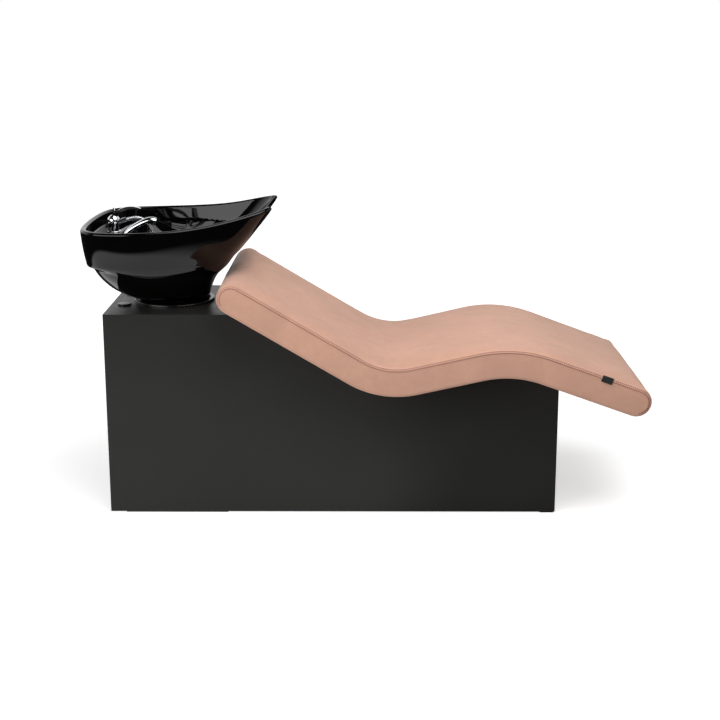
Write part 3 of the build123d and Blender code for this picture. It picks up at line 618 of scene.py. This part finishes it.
def tube_along(name, path, radii, sides):
    """A round tube whose radius may differ at each point of its path."""
    path = np.asarray(path, float)
    ways = np.gradient(path, axis=0)
    ways /= np.linalg.norm(ways, axis=1)[:, None]
    side = np.cross(ways[0], (0.0, 0.0, 1.0))
    if np.linalg.norm(side) < 0.1:
        side = np.cross(ways[0], (1.0, 0.0, 0.0))
    points = []
    turns = np.linspace(0, 2 * math.pi, sides, endpoint=False)
    for at, way, radius in zip(path, ways, radii):
        side = side - way * (side @ way)
        side /= np.linalg.norm(side)
        other = np.cross(way, side)
        ring = np.outer(np.cos(turns), side) + np.outer(np.sin(turns), other)
        points.extend(at + radius * ring)
    faces = ring_faces(len(path), sides)
    faces.append(tuple(range(sides))[::-1])
    faces.append(tuple(range((len(path) - 1) * sides, len(path) * sides)))
    return piece_from(name, points, faces)


def resample(path, pitch):
    path = np.asarray(path, float)
    steps = np.linalg.norm(np.diff(path, axis=0), axis=1)
    along = np.concatenate([[0.0], np.cumsum(steps)])
    count = max(2, int(round(along[-1] / pitch)))
    places = np.linspace(0, along[-1], count + 1)
    return np.stack([np.interp(places, along, path[:, k]) for k in range(3)], axis=1)


# ---- hose


def hose_line():
    """The shower hose's centreline, a smooth spline with the route's points as its controls."""
    curve = bpy.data.curves.new("hose_line", "CURVE")
    curve.dimensions = "3D"
    curve.resolution_u = 24
    spline = curve.splines.new("NURBS")
    spline.points.add(len(HOSE_ROUTE) - 1)
    for point, place in zip(spline.points, HOSE_ROUTE):
        point.co = (*place, 1.0)
    spline.order_u = 3
    spline.use_endpoint_u = True
    guide = placed("hose_line", curve)
    bpy.context.view_layer.update()
    mesh = bpy.data.meshes.new_from_object(guide)
    path = [tuple(v.co) for v in mesh.vertices]
    bpy.data.objects.remove(guide)
    bpy.data.meshes.remove(mesh)
    return path


def make_hose():
    path = hose_line()
    fine = resample(path, sizes().rib_pitch / len(RIB_SHARES))
    width = sizes().hose_width
    radii = [width / 2 * RIB_SHARES[i % len(RIB_SHARES)] for i in range(len(fine))]
    hose = tube_along("ribbed_hose", fine, radii, HOSE_SIDES)
    dress(hose, None, "hose_steel")
    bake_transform(hose)
    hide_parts("shower_hose")


# ---- bowl


def plan_radii(rear, front, half, roundness, turns):
    """Reach of one level of the bowl from its axis, for each turn about it."""
    last = len(PLAN_SHARES) - 1
    side = []
    for i, (along, across) in enumerate(PLAN_SHARES):
        angle = math.pi * i / last
        along += ((1 - math.cos(angle)) / 2 - along) * roundness
        across += (math.sin(angle) - across) * roundness
        side.append((rear + (front - rear) * along, half * across))
    ring = [(x, -y) for x, y in side] + [(x, y) for x, y in side[-2:0:-1]]
    wide = np.array(ring[-4:] + ring + ring[:5])
    steps = np.concatenate([[0.0], np.cumsum(np.linalg.norm(np.diff(wide, axis=0), axis=1))])
    dense = natural_spline(steps, wide, np.linspace(steps[4], steps[4 + len(ring)], 1600))
    angles = np.arctan2(dense[:, 1], dense[:, 0])
    order = np.argsort(angles)
    return np.interp(turns, angles[order], np.hypot(dense[:, 0], dense[:, 1])[order], period=2 * math.pi)


def level_table(levels, turns, rear_reach=REAR_REACH, inset=0.0):
    """Heights of the levels, and the bowl's reach at each of them for each turn."""
    rows = [
        plan_radii(
            -rear_reach * rear + inset, EAR_REACH * front - inset, BOWL_HALF_WIDTH * half - inset,
            roundness, turns,
        )
        for _, rear, front, half, roundness in levels
    ]
    return [level[0] for level in levels], np.array(rows)


def reach_at(table, heights):
    """Reach of the bowl for each turn, at heights that differ from turn to turn."""
    levels, reach = table
    return np.stack([natural_spline(levels, *pair) for pair in zip(reach.T, heights.T)], axis=1)


def soft_least(first, second, soft):
    """The lesser of two values, rounded where they cross."""
    share = np.clip(0.5 + (first - second) / (2 * soft), 0, 1)
    return first + (second - first) * share - soft * share * (1 - share)


def smooth_step(value, low, high):
    share = np.clip((value - low) / (high - low), 0, 1)
    return share * share * (3 - 2 * share)


def rim_height(x, y):
    """Height of the rim at a point of the plan: the rising line, cut by the saddle for the neck."""
    across = np.clip(np.abs(y) / SADDLE_HALF, 0, 1)
    saddle = SADDLE_TIPS - SADDLE_DEPTH * np.sqrt(1 - across**2)
    saddle += np.maximum(np.abs(y) - SADDLE_HALF, 0) * SADDLE_SLOPE
    saddle += np.maximum(SADDLE_END - x, 0) * SADDLE_SLOPE
    return soft_least(natural_spline(*zip(*RIM_LINE), x), saddle, SADDLE_SOFT)


def profile_rows(radii, heights, count, softening):
    """Resamples each turn's profile evenly along its length, after rounding its corners."""
    path = np.stack([radii, np.broadcast_to(heights, radii.shape)], axis=2).copy()
    for _ in range(softening):
        path[1:-1] += 0.5 * ((path[:-2] + path[2:]) / 2 - path[1:-1])
    steps = np.linalg.norm(np.diff(path, axis=0), axis=2)
    along = np.vstack([np.zeros(path.shape[1]), np.cumsum(steps, axis=0)])
    rows = np.empty((count, path.shape[1], 2))
    shares = np.linspace(0, 1, count)
    for j in range(path.shape[1]):
        for k in range(2):
            rows[:, j, k] = np.interp(shares * along[-1, j], along[:, j], path[:, j, k])
    return rows


def bowl_outside(turns, apron, shoulder):
    """Rows from the foot up to the rim; the step under the apron fades out along the sides."""
    low = np.concatenate([np.arange(*band) for band in HULL_BANDS])[:, None]
    climb = np.linspace(0, 1, 61)[1:, None]
    heights = np.vstack([low + np.zeros(len(turns)), low[-1] + (shoulder - low[-1]) * climb])
    body = reach_at(level_table(HULL_LEVELS, turns), heights)
    # The underside stays as high as the solid's, so that the tilted bowl clears the collar
    body -= np.clip(UNDERSIDE - heights, 0, UNDERSIDE_DEPTH) * UNDERSIDE_SLOPE
    narrow, wide = FOOT_RADII
    cone = narrow + (wide - narrow) * np.clip((heights - DECK_TOP) / FOOT_HEIGHT, 0, 1)
    reach = -soft_least(-cone, -body, FOOT_SOFT)
    fade = smooth_step(math.pi - np.abs(turns), *np.radians(STEP_FADE))
    rise = smooth_step(
        heights, STEP_LEVELS[0] - STEP_SPREAD[0] * fade, STEP_LEVELS[1] + STEP_SPREAD[1] * fade,
    )
    reach = reach + np.maximum(reach_at(apron, heights) - reach, 0) * rise
    return profile_rows(reach, heights, count=104, softening=3)


def bowl_inside(turns, shoulder):
    """Rows from the rim down over the tap's ledge to the basin's floor."""
    fall = np.linspace(0, 1, 50)[:, None]
    well_z = shoulder + (LEDGE_TOP + LEDGE_GAP - shoulder) * fall
    well = reach_at(level_table(WELL_LEVELS, turns, inset=RIM_WALL), well_z)
    deep_z = np.concatenate([np.arange(*band) for band in BASIN_BANDS])
    deep = natural_spline(*level_table(BASIN_LEVELS, turns, rear_reach=LEDGE_FRONT), deep_z)
    gap = np.maximum(well[-1] - deep[0], 0)
    lift = gap * (1 - smooth_step(gap, *LEDGE_WIDTHS))
    deep = deep + lift * smooth_step(deep_z, WIDENED_FROM, LEDGE_TOP)[:, None]
    shelf = well[-1] + (deep[0] - well[-1]) * np.linspace(0, 1, 34)[1:-1, None]
    floor = deep[-1] + (DRAIN_RADIUS - deep[-1]) * np.linspace(0, 1, 26)[1:, None]
    heights = np.vstack([
        well_z,
        np.full_like(shelf, LEDGE_TOP),
        np.broadcast_to(deep_z[:, None], deep.shape),
        np.full_like(floor, BASIN_FLOOR),
    ])
    return profile_rows(np.vstack([well, shelf, deep, floor]), heights, count=110, softening=14)


def bowl_rows(columns):
    """Rings of the bowl: up its outside, over the rim, down its inside and out through the waste."""
    turns = np.linspace(-math.pi, math.pi, columns, endpoint=False)
    apron = level_table(APRON_LEVELS, turns)
    top = np.full(columns, RIM_LINE[0][1])
    for _ in range(8):
        reach = reach_at(apron, top[None])[0]
        top = rim_height(BOWL_AXIS + reach * np.cos(turns), reach * np.sin(turns))
    outside = bowl_outside(turns, apron, top - RIM_ROLL)
    inside = bowl_inside(turns, top - RIM_ROLL)
    middle = (outside[-1] + inside[0]) / 2
    half = (outside[-1, :, 0] - inside[0, :, 0]) / 2
    rolls = []
    for angle in np.linspace(0, math.pi, 11)[1:-1]:
        roll = middle.copy()
        roll[:, 0] += half * math.cos(angle)
        roll[:, 1] += RIM_ROLL * math.sin(angle)
        rolls.append(roll)
    below = [np.broadcast_to(level, (columns, 2)) for level in WASTE_LEVELS]
    rows = np.concatenate([outside, rolls, inside, below])
    x = BOWL_AXIS + rows[:, :, 0] * np.cos(turns)
    y = rows[:, :, 0] * np.sin(turns)
    return np.stack([x, y, rows[:, :, 1]], axis=2)


def tap_bay():
    """What the tap's fittings need taken out of the bowl."""
    bay = bmesh.new()
    bmesh.ops.create_cube(bay, size=1.0)
    for vert in bay.verts:
        vert.co = Vector([c + share * size for c, share, size in zip(BAY_CENTRE, vert.co, BAY_SIZE)])
    uprights = [e for e in bay.edges if abs(e.verts[0].co.z - e.verts[1].co.z) > BAY_SIZE[2] / 2]
    bmesh.ops.bevel(bay, geom=uprights, offset=BAY_CORNER, segments=4, affect="EDGES", profile=0.5)
    shank = bmesh.ops.create_cone(
        bay, cap_ends=True, segments=40, radius1=SHANK_RADIUS, radius2=SHANK_RADIUS, depth=SHANK_LENGTH,
    )
    for vert in shank["verts"]:
        vert.co += Vector(SHANK_PLACE)
    mesh = bpy.data.meshes.new("tap_bay")
    bay.to_mesh(mesh)
    bay.free()
    return placed("tap_bay", mesh)


def make_bowl():
    columns = 300
    rows = bowl_rows(columns)
    faces = ring_faces(len(rows), columns, closed_rows=True)
    bowl = piece_from("glazed_bowl", rows.reshape(-1, 3), faces)
    cut = bowl.modifiers.new("bay", "BOOLEAN")
    cut.object = tap_bay()
    cut.operation = "DIFFERENCE"
    cut.solver = "EXACT"
    cut.use_self = True
    cutter = cut.object
    bake_modifiers(bowl)
    bpy.data.objects.remove(cutter)
    dress(bowl, "bowl", "black_glaze", angle=50.0)
    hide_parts("bowl")


# ---- cushion


def middle_line():
    """Lengths, heading angles and points along the cushion's middle line."""
    points = np.array(CUSHION_LINE)
    runs = np.diff(points, axis=0)
    lengths = np.linalg.norm(runs, axis=1)
    angles = np.arctan2(runs[:, 1], runs[:, 0])
    turns = np.diff(angles)
    cuts = [radius * math.tan(abs(turn) / 2) for radius, turn in zip(CUSHION_RADII, turns)]
    arcs = [radius * abs(turn) for radius, turn in zip(CUSHION_RADII, turns)]
    pieces = (lengths[0] - cuts[0], arcs[0], lengths[1] - cuts[0] - cuts[1], arcs[1], lengths[2] - cuts[1])
    breaks = np.concatenate([[0.0], np.cumsum(pieces)])
    headings = (angles[0], angles[0], angles[1], angles[1], angles[2], angles[2])
    along = np.linspace(0, breaks[-1], 3001)
    heading = np.interp(along, breaks, headings)
    steps = np.diff(along)[:, None] * np.stack(
        [np.cos((heading[1:] + heading[:-1]) / 2), np.sin((heading[1:] + heading[:-1]) / 2)], axis=1,
    )
    line = points[0] + np.vstack([[0, 0], np.cumsum(steps, axis=0)])
    return along, heading, line


def bent(slab):
    """Bends points of a straight slab (along, across, up) along the cushion's middle line."""
    along, heading, line = middle_line()
    s = slab[:, 0] + along[-1] / 2
    inside = np.clip(s, 0, along[-1])
    angle = np.interp(inside, along, heading)
    x = np.interp(inside, along, line[:, 0]) + np.cos(angle) * (s - inside) - np.sin(angle) * slab[:, 2]
    z = np.interp(inside, along, line[:, 1]) + np.sin(angle) * (s - inside) + np.cos(angle) * slab[:, 2]
    return np.stack([x, slab[:, 1], z], axis=1)


def over_the_edge(lengths):
    """Profile radius and place across the couch, at lengths over the long edge from the seam."""
    edge, inset = sizes().cushion_edge, sizes().seam_inset
    lean = math.asin((edge - inset) / edge)
    low, high = -lean * edge, (math.pi / 2 - lean) * edge
    turn = np.clip(lengths, low, high) / edge + lean
    radius = CUSHION_HALF - edge + edge * np.sin(turn) + np.minimum(lengths - low, 0)
    across = sizes().cushion_width / 2 - edge + edge * np.cos(turn) - np.maximum(lengths - high, 0)
    return radius, across


def cushion_grid():
    """Vertices and quads of the straight slab: rings round its profile, from side to side."""
    rows, rings, turns = sizes().stitch_rows, 16, 118
    near = np.array([-0.0335, -0.028, -0.022, -0.0165, -0.012, -0.009, -0.007, -0.0055])
    seam = rows * np.array([-1.3, -1.0, -0.7, -0.3, 0.0, 0.3, 0.7, 1.0, 1.3])
    top = np.array([0.0062, 0.0080, 0.0105, 0.0130, 0.0155, 0.0190, 0.0245])
    steps = np.concatenate([near, seam, top])
    radius, across = over_the_edge(steps)
    inner = np.linspace(across[-1], -across[-1], 46)[1:-1]
    radius = np.concatenate([radius, np.full(len(inner), CUSHION_HALF), radius[::-1]])
    across = np.concatenate([-across, -inner, across[::-1]])
    half_length = middle_line()[0][-1] / 2
    straight = np.linspace(-half_length, half_length, turns + 1)
    arc = np.linspace(math.pi / 2, -math.pi / 2, rings + 1)[1:-1]
    centres = np.concatenate([straight, np.full(rings - 1, half_length), straight[::-1],
                              np.full(rings - 1, -half_length)])
    angles = np.concatenate([np.full(turns + 1, math.pi / 2), arc, np.full(turns + 1, -math.pi / 2),
                             arc - math.pi])
    count = len(centres)
    slab = np.stack([
        centres + radius[:, None] * np.cos(angles),
        np.broadcast_to(across[:, None], (len(radius), count)),
        radius[:, None] * np.sin(angles),
    ], axis=2)
    rise = np.clip(slab[:, :, 2] / CUSHION_HALF, 0, 1) ** 2
    dome = np.clip(1 - (2 * slab[:, :, 1] / sizes().cushion_width) ** 2, 0, 1)
    slab[:, :, 2] += sizes().cushion_crown * rise * dome
    faces = ring_faces(len(radius), count)
    middle = turns + rings // 2
    for base, flip in ((0, 1), ((len(radius) - 1) * count, -1)):
        for i in range(count // 2):
            face = [base + (middle + i * flip) % count, base + (middle + (i + 1) * flip) % count,
                    base + (middle - (i + 1) * flip) % count, base + (middle - i * flip) % count]
            faces.append(tuple(dict.fromkeys(face)))
    sunk = np.zeros(slab.shape[:2])
    shown = smooth_step(np.sin(angles), -0.95, -0.6)
    for k, length in enumerate(steps):
        share = {0.0: 1.0, 1.0: 0.7}.get(round(abs(length / rows), 3), 0.0)
        sunk[k] = sunk[len(radius) - 1 - k] = share * shown
    sewn = np.zeros(slab.shape[:2], bool)
    sewn[len(near):len(near) + len(seam)] = True
    sewn[-len(near) - len(seam):-len(near)] = True
    sewn |= slab[:, :, 2] < -CUSHION_HALF * 0.96
    first = len(near) + len(seam) // 2
    over = np.roll(np.arange(count), rings - 1)
    over = over[np.sin(angles[over]) > -0.85]
    loops = [over + k * count for k in (first, len(radius) - 1 - first)]
    return slab.reshape(-1, 3), faces, loops, sewn.ravel(), sunk.ravel()


def puffed(cushion, held):
    """Lets pressure fill the cover, with the seams and the underside held."""
    group = cushion.vertex_groups.new(name="sewn")
    group.add(held, 1.0, "REPLACE")
    rest = np.array([v.co for v in cushion.data.vertices])
    cloth = cushion.modifiers.new("stuffing", "CLOTH")
    for name, value in CLOTH.items():
        setattr(cloth.settings, name, value)
    cloth.settings.effector_weights.gravity = 0.0
    cloth.point_cache.frame_end = CLOTH_FRAMES
    scene = bpy.context.scene
    for step in range(1, CLOTH_FRAMES + 1):
        scene.frame_set(step)
    graph = bpy.context.evaluated_depsgraph_get()
    done = cushion.evaluated_get(graph).to_mesh()
    moved = np.array([v.co for v in done.vertices])
    cushion.modifiers.clear()
    cushion.vertex_groups.clear()
    scene.frame_set(1)
    push = moved - rest
    reach = np.linalg.norm(push, axis=1)[:, None]
    limit = sizes().puff_limit
    return rest + push / np.maximum(reach, 1e-9) * limit * np.tanh(reach / limit)


def move_to(mesh, points):
    mesh.vertices.foreach_set("co", points.astype(np.float32).ravel())
    mesh.update()


def make_cushion():
    slab, faces, loops, sewn, sunk = cushion_grid()
    points = bent(slab)
    cushion = piece_from("leather_cushion", points, faces)
    face_out(cushion)
    mesh = cushion.data
    points = puffed(cushion, np.flatnonzero(sewn).tolist())
    move_to(mesh, points)
    normals = np.array([v.normal for v in mesh.vertices])
    move_to(mesh, points - normals * (sizes().seam_depth * sunk)[:, None])
    dress(cushion, "cabinet", "pink_leather")
    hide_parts("cushion")
    make_seams(cushion, [points[loop] for loop in loops])


def make_seams(cushion, loops):
    """Each side panel's seam: two rows of stitches and its crease, laid on the finished cover."""
    mesh = cushion.data
    tree = BVHTree.FromPolygons([v.co for v in mesh.vertices], [tuple(p.vertices) for p in mesh.polygons])

    def on_cover(point):
        place, normal, _, _ = tree.find_nearest(Vector(point))
        return np.array(place), np.array(normal)

    stitches = piece_from("seam_stitches", *stitched(loops, on_cover))
    dress(stitches, "cabinet", "pink_leather", "seam_thread")
    crease = piece_from("seam_crease", *creased(loops, on_cover))
    dress(crease, "cabinet", "pink_leather", "seam_crease")


def stitched(loops, on_cover):
    """Points and faces of two rows of stitches: short threads with pointed ends."""
    points, faces = [], []
    half, thick = sizes().stitch_pitch * STITCH_REACH, sizes().thread_width / 2
    for loop in loops:
        spaced = resample(loop, sizes().stitch_pitch)
        ways = np.gradient(spaced, axis=0)
        for here, way in zip(spaced, ways / np.linalg.norm(ways, axis=1)[:, None]):
            _, normal = on_cover(here)
            aside = np.cross(way, normal)
            for row in (-1, 1):
                place, up = on_cover(here + aside * row * sizes().stitch_rows)
                across = np.cross(way, up)
                first = len(points)
                points.append(place - way * half - up * thick)
                for at in (-0.5, 0.5):
                    for side, rise in THREAD_SECTION:
                        out = (across * side + up * (rise + THREAD_LIFT)) * thick
                        points.append(place + way * half * at + out)
                points.append(place + way * half - up * thick)
                for k in range(4):
                    n = (k + 1) % 4
                    faces.append((first, first + 1 + n, first + 1 + k))
                    faces.append((first + 1 + k, first + 1 + n, first + 5 + n, first + 5 + k))
                    faces.append((first + 5 + k, first + 5 + n, first + 9))
    return points, faces


def creased(loops, on_cover):
    """Points and faces of the narrow groove along each seam."""
    points, faces = [], []
    for loop in loops:
        path = resample(loop, CREASE_PITCH)
        first = len(points)
        for here, way in zip(path, np.gradient(path, axis=0)):
            place, up = on_cover(here)
            across = np.cross(way / np.linalg.norm(way), up)
            points.extend(place + across * side + up * rise for side, rise in CREASE_SECTION)
        for a in range(first, len(points) - 3, 3):
            faces.append((a, a + 1, a + 4, a + 3))
            faces.append((a + 1, a + 2, a + 5, a + 4))
    return points, faces


def make_tag():
    """The blank woven tag: a folded tape that stands a little off the seam."""
    low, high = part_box("label_tag")
    centre = (Vector(low) + Vector(high)) / 2
    length, thick, height = TAG_SIZE
    n, m = 16, 10
    points = []
    for face in (-1, 1):
        for j in range(m + 1):
            for i in range(n + 1):
                a, b = i / n - 0.5, j / m - 0.5
                pillow = (1 - (2 * a) ** 6) * (1 - (2 * b) ** 8)
                curl = TAG_CURL * math.sin(a * 5.0 + 0.6) * (0.5 - b)
                points.append((a * length, face * thick * 0.5 * pillow - curl, b * height))
    row, layer = n + 1, (n + 1) * (m + 1)
    faces = []
    for j in range(m):
        for i in range(n):
            a = j * row + i
            b = layer + a
            faces.append((a, a + 1, a + row + 1, a + row))
            faces.append((b, b + row, b + row + 1, b + 1))
    rim = list(range(row)) + [j * row + n for j in range(1, m + 1)]
    rim += [m * row + i for i in range(n - 1, -1, -1)] + [j * row for j in range(m - 1, 0, -1)]
    for a, b in zip(rim, rim[1:] + rim[:1]):
        faces.append((b, a, layer + a, layer + b))
    heading = middle_line()[1][-1]
    cos, sin = math.cos(heading), math.sin(heading)
    turn = np.array([[cos, 0, -sin], [0, 1, 0], [sin, 0, cos]])
    tag = piece_from("seam_tag", np.array(points) @ turn.T + np.array(centre), faces)
    dress(tag, "cabinet", "black_tag")
    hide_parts("label_tag")


# ---- nodes that keep their CAD form

NODE_GROUPS = {
    "cabinet": {
        "dark_laminate": ("side_panel_near", "side_panel_far", "foot_end_panel", "deck", "service_panel"),
        "plywood": ("base_board", "bulkhead", "head_rail", "seat_board", "seat_rails"),
        "black_plastic": ("glides", "deck_caps", "collar", "panel_knob"),
        "bracket_steel": ("corner_brackets", "bracket_screws", "catch_magnets", "strike_plates"),
    },
    "tilt_mount": {
        "yoke_paint": ("tilt_yoke", "bowl_mount_plate"),
        "bracket_steel": ("yoke_screws", "tilt_pins", "pin_clips", "mount_plate_bolts"),
    },
    "waste": {
        "chrome": ("drain_body", "strainer"),
        "spray_rubber": ("drain_gasket",),
        "pipe_plastic": ("drain_nut", "waste_tailpiece"),
    },
    "tap": {
        "chrome": (
            "tap_body", "tap_flange", "tap_hose_nut", "lever_cap", "lever_blade", "cap_pin", "cartridge_ball",
            "handset_shell", "handset_hose_nut", "handset_holder",
        ),
        "bracket_steel": ("tap_back_nut", "lift_pin", "holder_screw"),
        "brass": ("water_inlets",),
        "spray_rubber": ("spray_face",),
    },
}


def dress_nodes(group):
    for slot, names in NODE_GROUPS[group].items():
        for name in names:
            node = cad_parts[name]
            coat(node, slot)


# ---- stage


def make_camera():
    data = bpy.data.cameras.new("photo_camera")
    data.sensor_width = 36.0
    data.lens = LENS_PIXELS / FRAME_PIXELS * data.sensor_width
    data.shift_y = LENS_SHIFT
    data.dof.use_dof = False
    data.clip_end = 60.0
    camera = placed("photo_camera", data)
    camera.location = CAMERA_PLACE
    camera.rotation_euler = (math.radians(90 - CAMERA_PITCH), 0, math.radians(-CAMERA_YAW))
    bpy.context.scene.camera = camera


class Surroundings(Nodes):
    """Nodes of the world or the floor, which look different to the light rays that meet them."""

    def __init__(self, tree):
        super().__init__(tree)
        tree.nodes.clear()
        self.rays = self.node("ShaderNodeLightPath").outputs

    def shader(self, kind, colour=1.0, strength=None):
        made = self.node(kind, Color=(colour, colour, colour, 1))
        if isinstance(strength, float):
            made.inputs["Strength"].default_value = strength
        elif strength is not None:
            self.join(strength, made.inputs["Strength"])
        return made.outputs[0]

    def ranged(self, value, low, high, start, end):
        made = self.node("ShaderNodeMapRange", From_Min=low, From_Max=high, To_Min=start, To_Max=end)
        made.interpolation_type = "SMOOTHSTEP"
        self.join(value, made.inputs["Value"])
        return made.outputs["Result"]

    def distance(self, place, centre):
        made = self.node("ShaderNodeVectorMath")
        made.operation = "DISTANCE"
        made.inputs[1].default_value = centre
        self.join(place, made.inputs[0])
        return made.outputs["Value"]

    def mix(self, factor, first, second):
        made = self.node("ShaderNodeMixShader")
        self.join(factor, made.inputs["Fac"])
        self.join(first, made.inputs[1])
        self.join(second, made.inputs[2])
        return made.outputs[0]

    def add(self, first, second):
        made = self.node("ShaderNodeAddShader")
        self.join(first, made.inputs[0])
        self.join(second, made.inputs[1])
        return made.outputs[0]

    def finish(self, kind, plain, mirrored, seen):
        """Ends the tree with what light meets, what reflections meet and what the camera sees."""
        either = self.node("ShaderNodeMath")
        either.operation = "MAXIMUM"
        self.join(self.rays["Is Glossy Ray"], either.inputs[0])
        self.join(self.rays["Is Transmission Ray"], either.inputs[1])
        surface = self.mix(either.outputs[0], plain, mirrored)
        surface = self.mix(self.rays["Is Camera Ray"], surface, seen)
        self.join(surface, self.node(kind).inputs["Surface"])


def make_world():
    """White to the camera; reflections meet a white backdrop behind the bed and a dim studio before it."""
    world = bpy.data.worlds.new("studio")
    bpy.context.scene.world = world
    world.use_nodes = True
    around = Surroundings(world.node_tree)
    parts = around.node("ShaderNodeSeparateXYZ")
    around.join(around.node("ShaderNodeTexCoord").outputs["Generated"], parts.inputs[0])
    behind = around.ranged(parts.outputs["Y"], *BACKDROP_REAR, DIM, 1.0)
    backdrop = around.shader("ShaderNodeBackground", strength=behind)
    dim = around.shader("ShaderNodeBackground", strength=DIM)
    graded = around.mix(around.ranged(parts.outputs["Z"], *BACKDROP_TOP, 0.0, 1.0), backdrop, dim)
    plain = around.shader("ShaderNodeBackground", strength=AMBIENT)
    white = around.shader("ShaderNodeBackground", strength=1.0)
    around.finish("ShaderNodeOutputWorld", plain, graded, white)


def make_floor():
    """White to the camera beside the bed's shadow; reflections meet a pool of white by the head end."""
    corners = [(x * FLOOR_REACH, y * FLOOR_REACH, 0) for x, y in ((-1, -1), (1, -1), (1, 1), (-1, 1))]
    floor = piece_from("floor", corners, [(0, 1, 2, 3)])
    material = bpy.data.materials.new("pale_floor")
    material.use_nodes = True
    around = Surroundings(material.node_tree)
    place = around.node("ShaderNodeTexCoord").outputs["Object"]
    away, beside = around.distance(place, (0.0, 0.0, 0.0)), around.distance(place, POOL_CENTRE)
    paint = around.shader("ShaderNodeBsdfDiffuse", FLOOR_PAINT)
    glow = around.shader("ShaderNodeEmission", strength=around.ranged(away, *GLOW_REACH, *GLOW))
    lit = around.add(paint, glow)
    dim = around.shader("ShaderNodeEmission", strength=DIM)
    pool = around.mix(around.ranged(beside, *POOL_EDGE, 0.0, 1.0), lit, dim)
    around.finish("ShaderNodeOutputMaterial", paint, pool, lit)
    floor.data.materials.append(material)


def make_lamps():
    for name, place, target, width, height, power in LAMPS:
        data = bpy.data.lights.new(name, "AREA")
        data.shape = "RECTANGLE"
        data.size, data.size_y = width, height
        data.energy = power
        lamp = placed(name, data)
        lamp.location = place
        lamp.rotation_euler = (Vector(target) - Vector(place)).to_track_quat("-Z", "Y").to_euler()


# ---- operators


class WASHBED_OT_stage(bpy.types.Operator):
    """Sets up the camera, the pale floor, the studio lamps and the white surroundings"""

    bl_idname = "washbed.stage"
    bl_label = "Stage"

    def execute(self, context):
        context.scene.view_settings.view_transform = "Standard"
        make_camera()
        make_world()
        make_floor()
        make_lamps()
        return {"FINISHED"}


class WASHBED_OT_hose(bpy.types.Operator):
    """Builds the ribbed steel hose from the tap round the basin to the handset"""

    bl_idname = "washbed.hose"
    bl_label = "Shower hose"

    def execute(self, context):
        make_hose()
        return {"FINISHED"}


class WASHBED_OT_bowl(bpy.types.Operator):
    """Builds the glazed bowl with its ledge, rim and neck saddle"""

    bl_idname = "washbed.bowl"
    bl_label = "Bowl"

    def execute(self, context):
        make_bowl()
        return {"FINISHED"}


class WASHBED_OT_cushion(bpy.types.Operator):
    """Builds the padded couch with its seam, stitches and blank tag"""

    bl_idname = "washbed.cushion"
    bl_label = "Cushion"

    def execute(self, context):
        make_cushion()
        make_tag()
        return {"FINISHED"}


class WASHBED_OT_cabinet(bpy.types.Operator):
    """Finishes the cabinet's panels, boards, plastic fittings and catches"""

    bl_idname = "washbed.cabinet"
    bl_label = "Cabinet"

    def execute(self, context):
        dress_nodes("cabinet")
        return {"FINISHED"}


class WASHBED_OT_tap(bpy.types.Operator):
    """Finishes the mixer tap, its lever and the hand shower"""

    bl_idname = "washbed.tap"
    bl_label = "Tap and hand shower"

    def execute(self, context):
        dress_nodes("tap")
        return {"FINISHED"}


class WASHBED_OT_fittings(bpy.types.Operator):
    """Finishes the waste and the tilting mount under the bowl"""

    bl_idname = "washbed.fittings"
    bl_label = "Waste and tilting mount"

    def execute(self, context):
        dress_nodes("waste")
        dress_nodes("tilt_mount")
        return {"FINISHED"}


class WASHBED_PT_panel(bpy.types.Panel):
    """Lists the steps that dress the bed"""

    bl_idname = "WASHBED_PT_panel"
    bl_label = "Hair washing bed"
    bl_space_type = "VIEW_3D"
    bl_region_type = "UI"
    bl_category = "Washing bed"

    def draw(self, context):
        layout = self.layout
        for group in (context.scene.bed_colours, context.scene.bed_sizes):
            for name in group.__annotations__:
                layout.prop(group, name)
        for operator in STEPS:
            layout.operator(operator.bl_idname)


STEPS = (
    WASHBED_OT_stage,
    WASHBED_OT_hose,
    WASHBED_OT_bowl,
    WASHBED_OT_cushion,
    WASHBED_OT_cabinet,
    WASHBED_OT_tap,
    WASHBED_OT_fittings,
)
CLASSES = (BedColours, BedSizes, *STEPS, WASHBED_PT_panel)


def register():
    for part in CLASSES:
        bpy.utils.register_class(part)
    bpy.types.Scene.bed_colours = bpy.props.PointerProperty(type=BedColours)
    bpy.types.Scene.bed_sizes = bpy.props.PointerProperty(type=BedSizes)


def unregister():
    del bpy.types.Scene.bed_sizes
    del bpy.types.Scene.bed_colours
    for part in reversed(CLASSES):
        bpy.utils.unregister_class(part)


def main():
    register()
    for operator in STEPS:
        getattr(bpy.ops.washbed, operator.bl_idname.split(".")[1])()


if __name__ == "__main__":
    main()
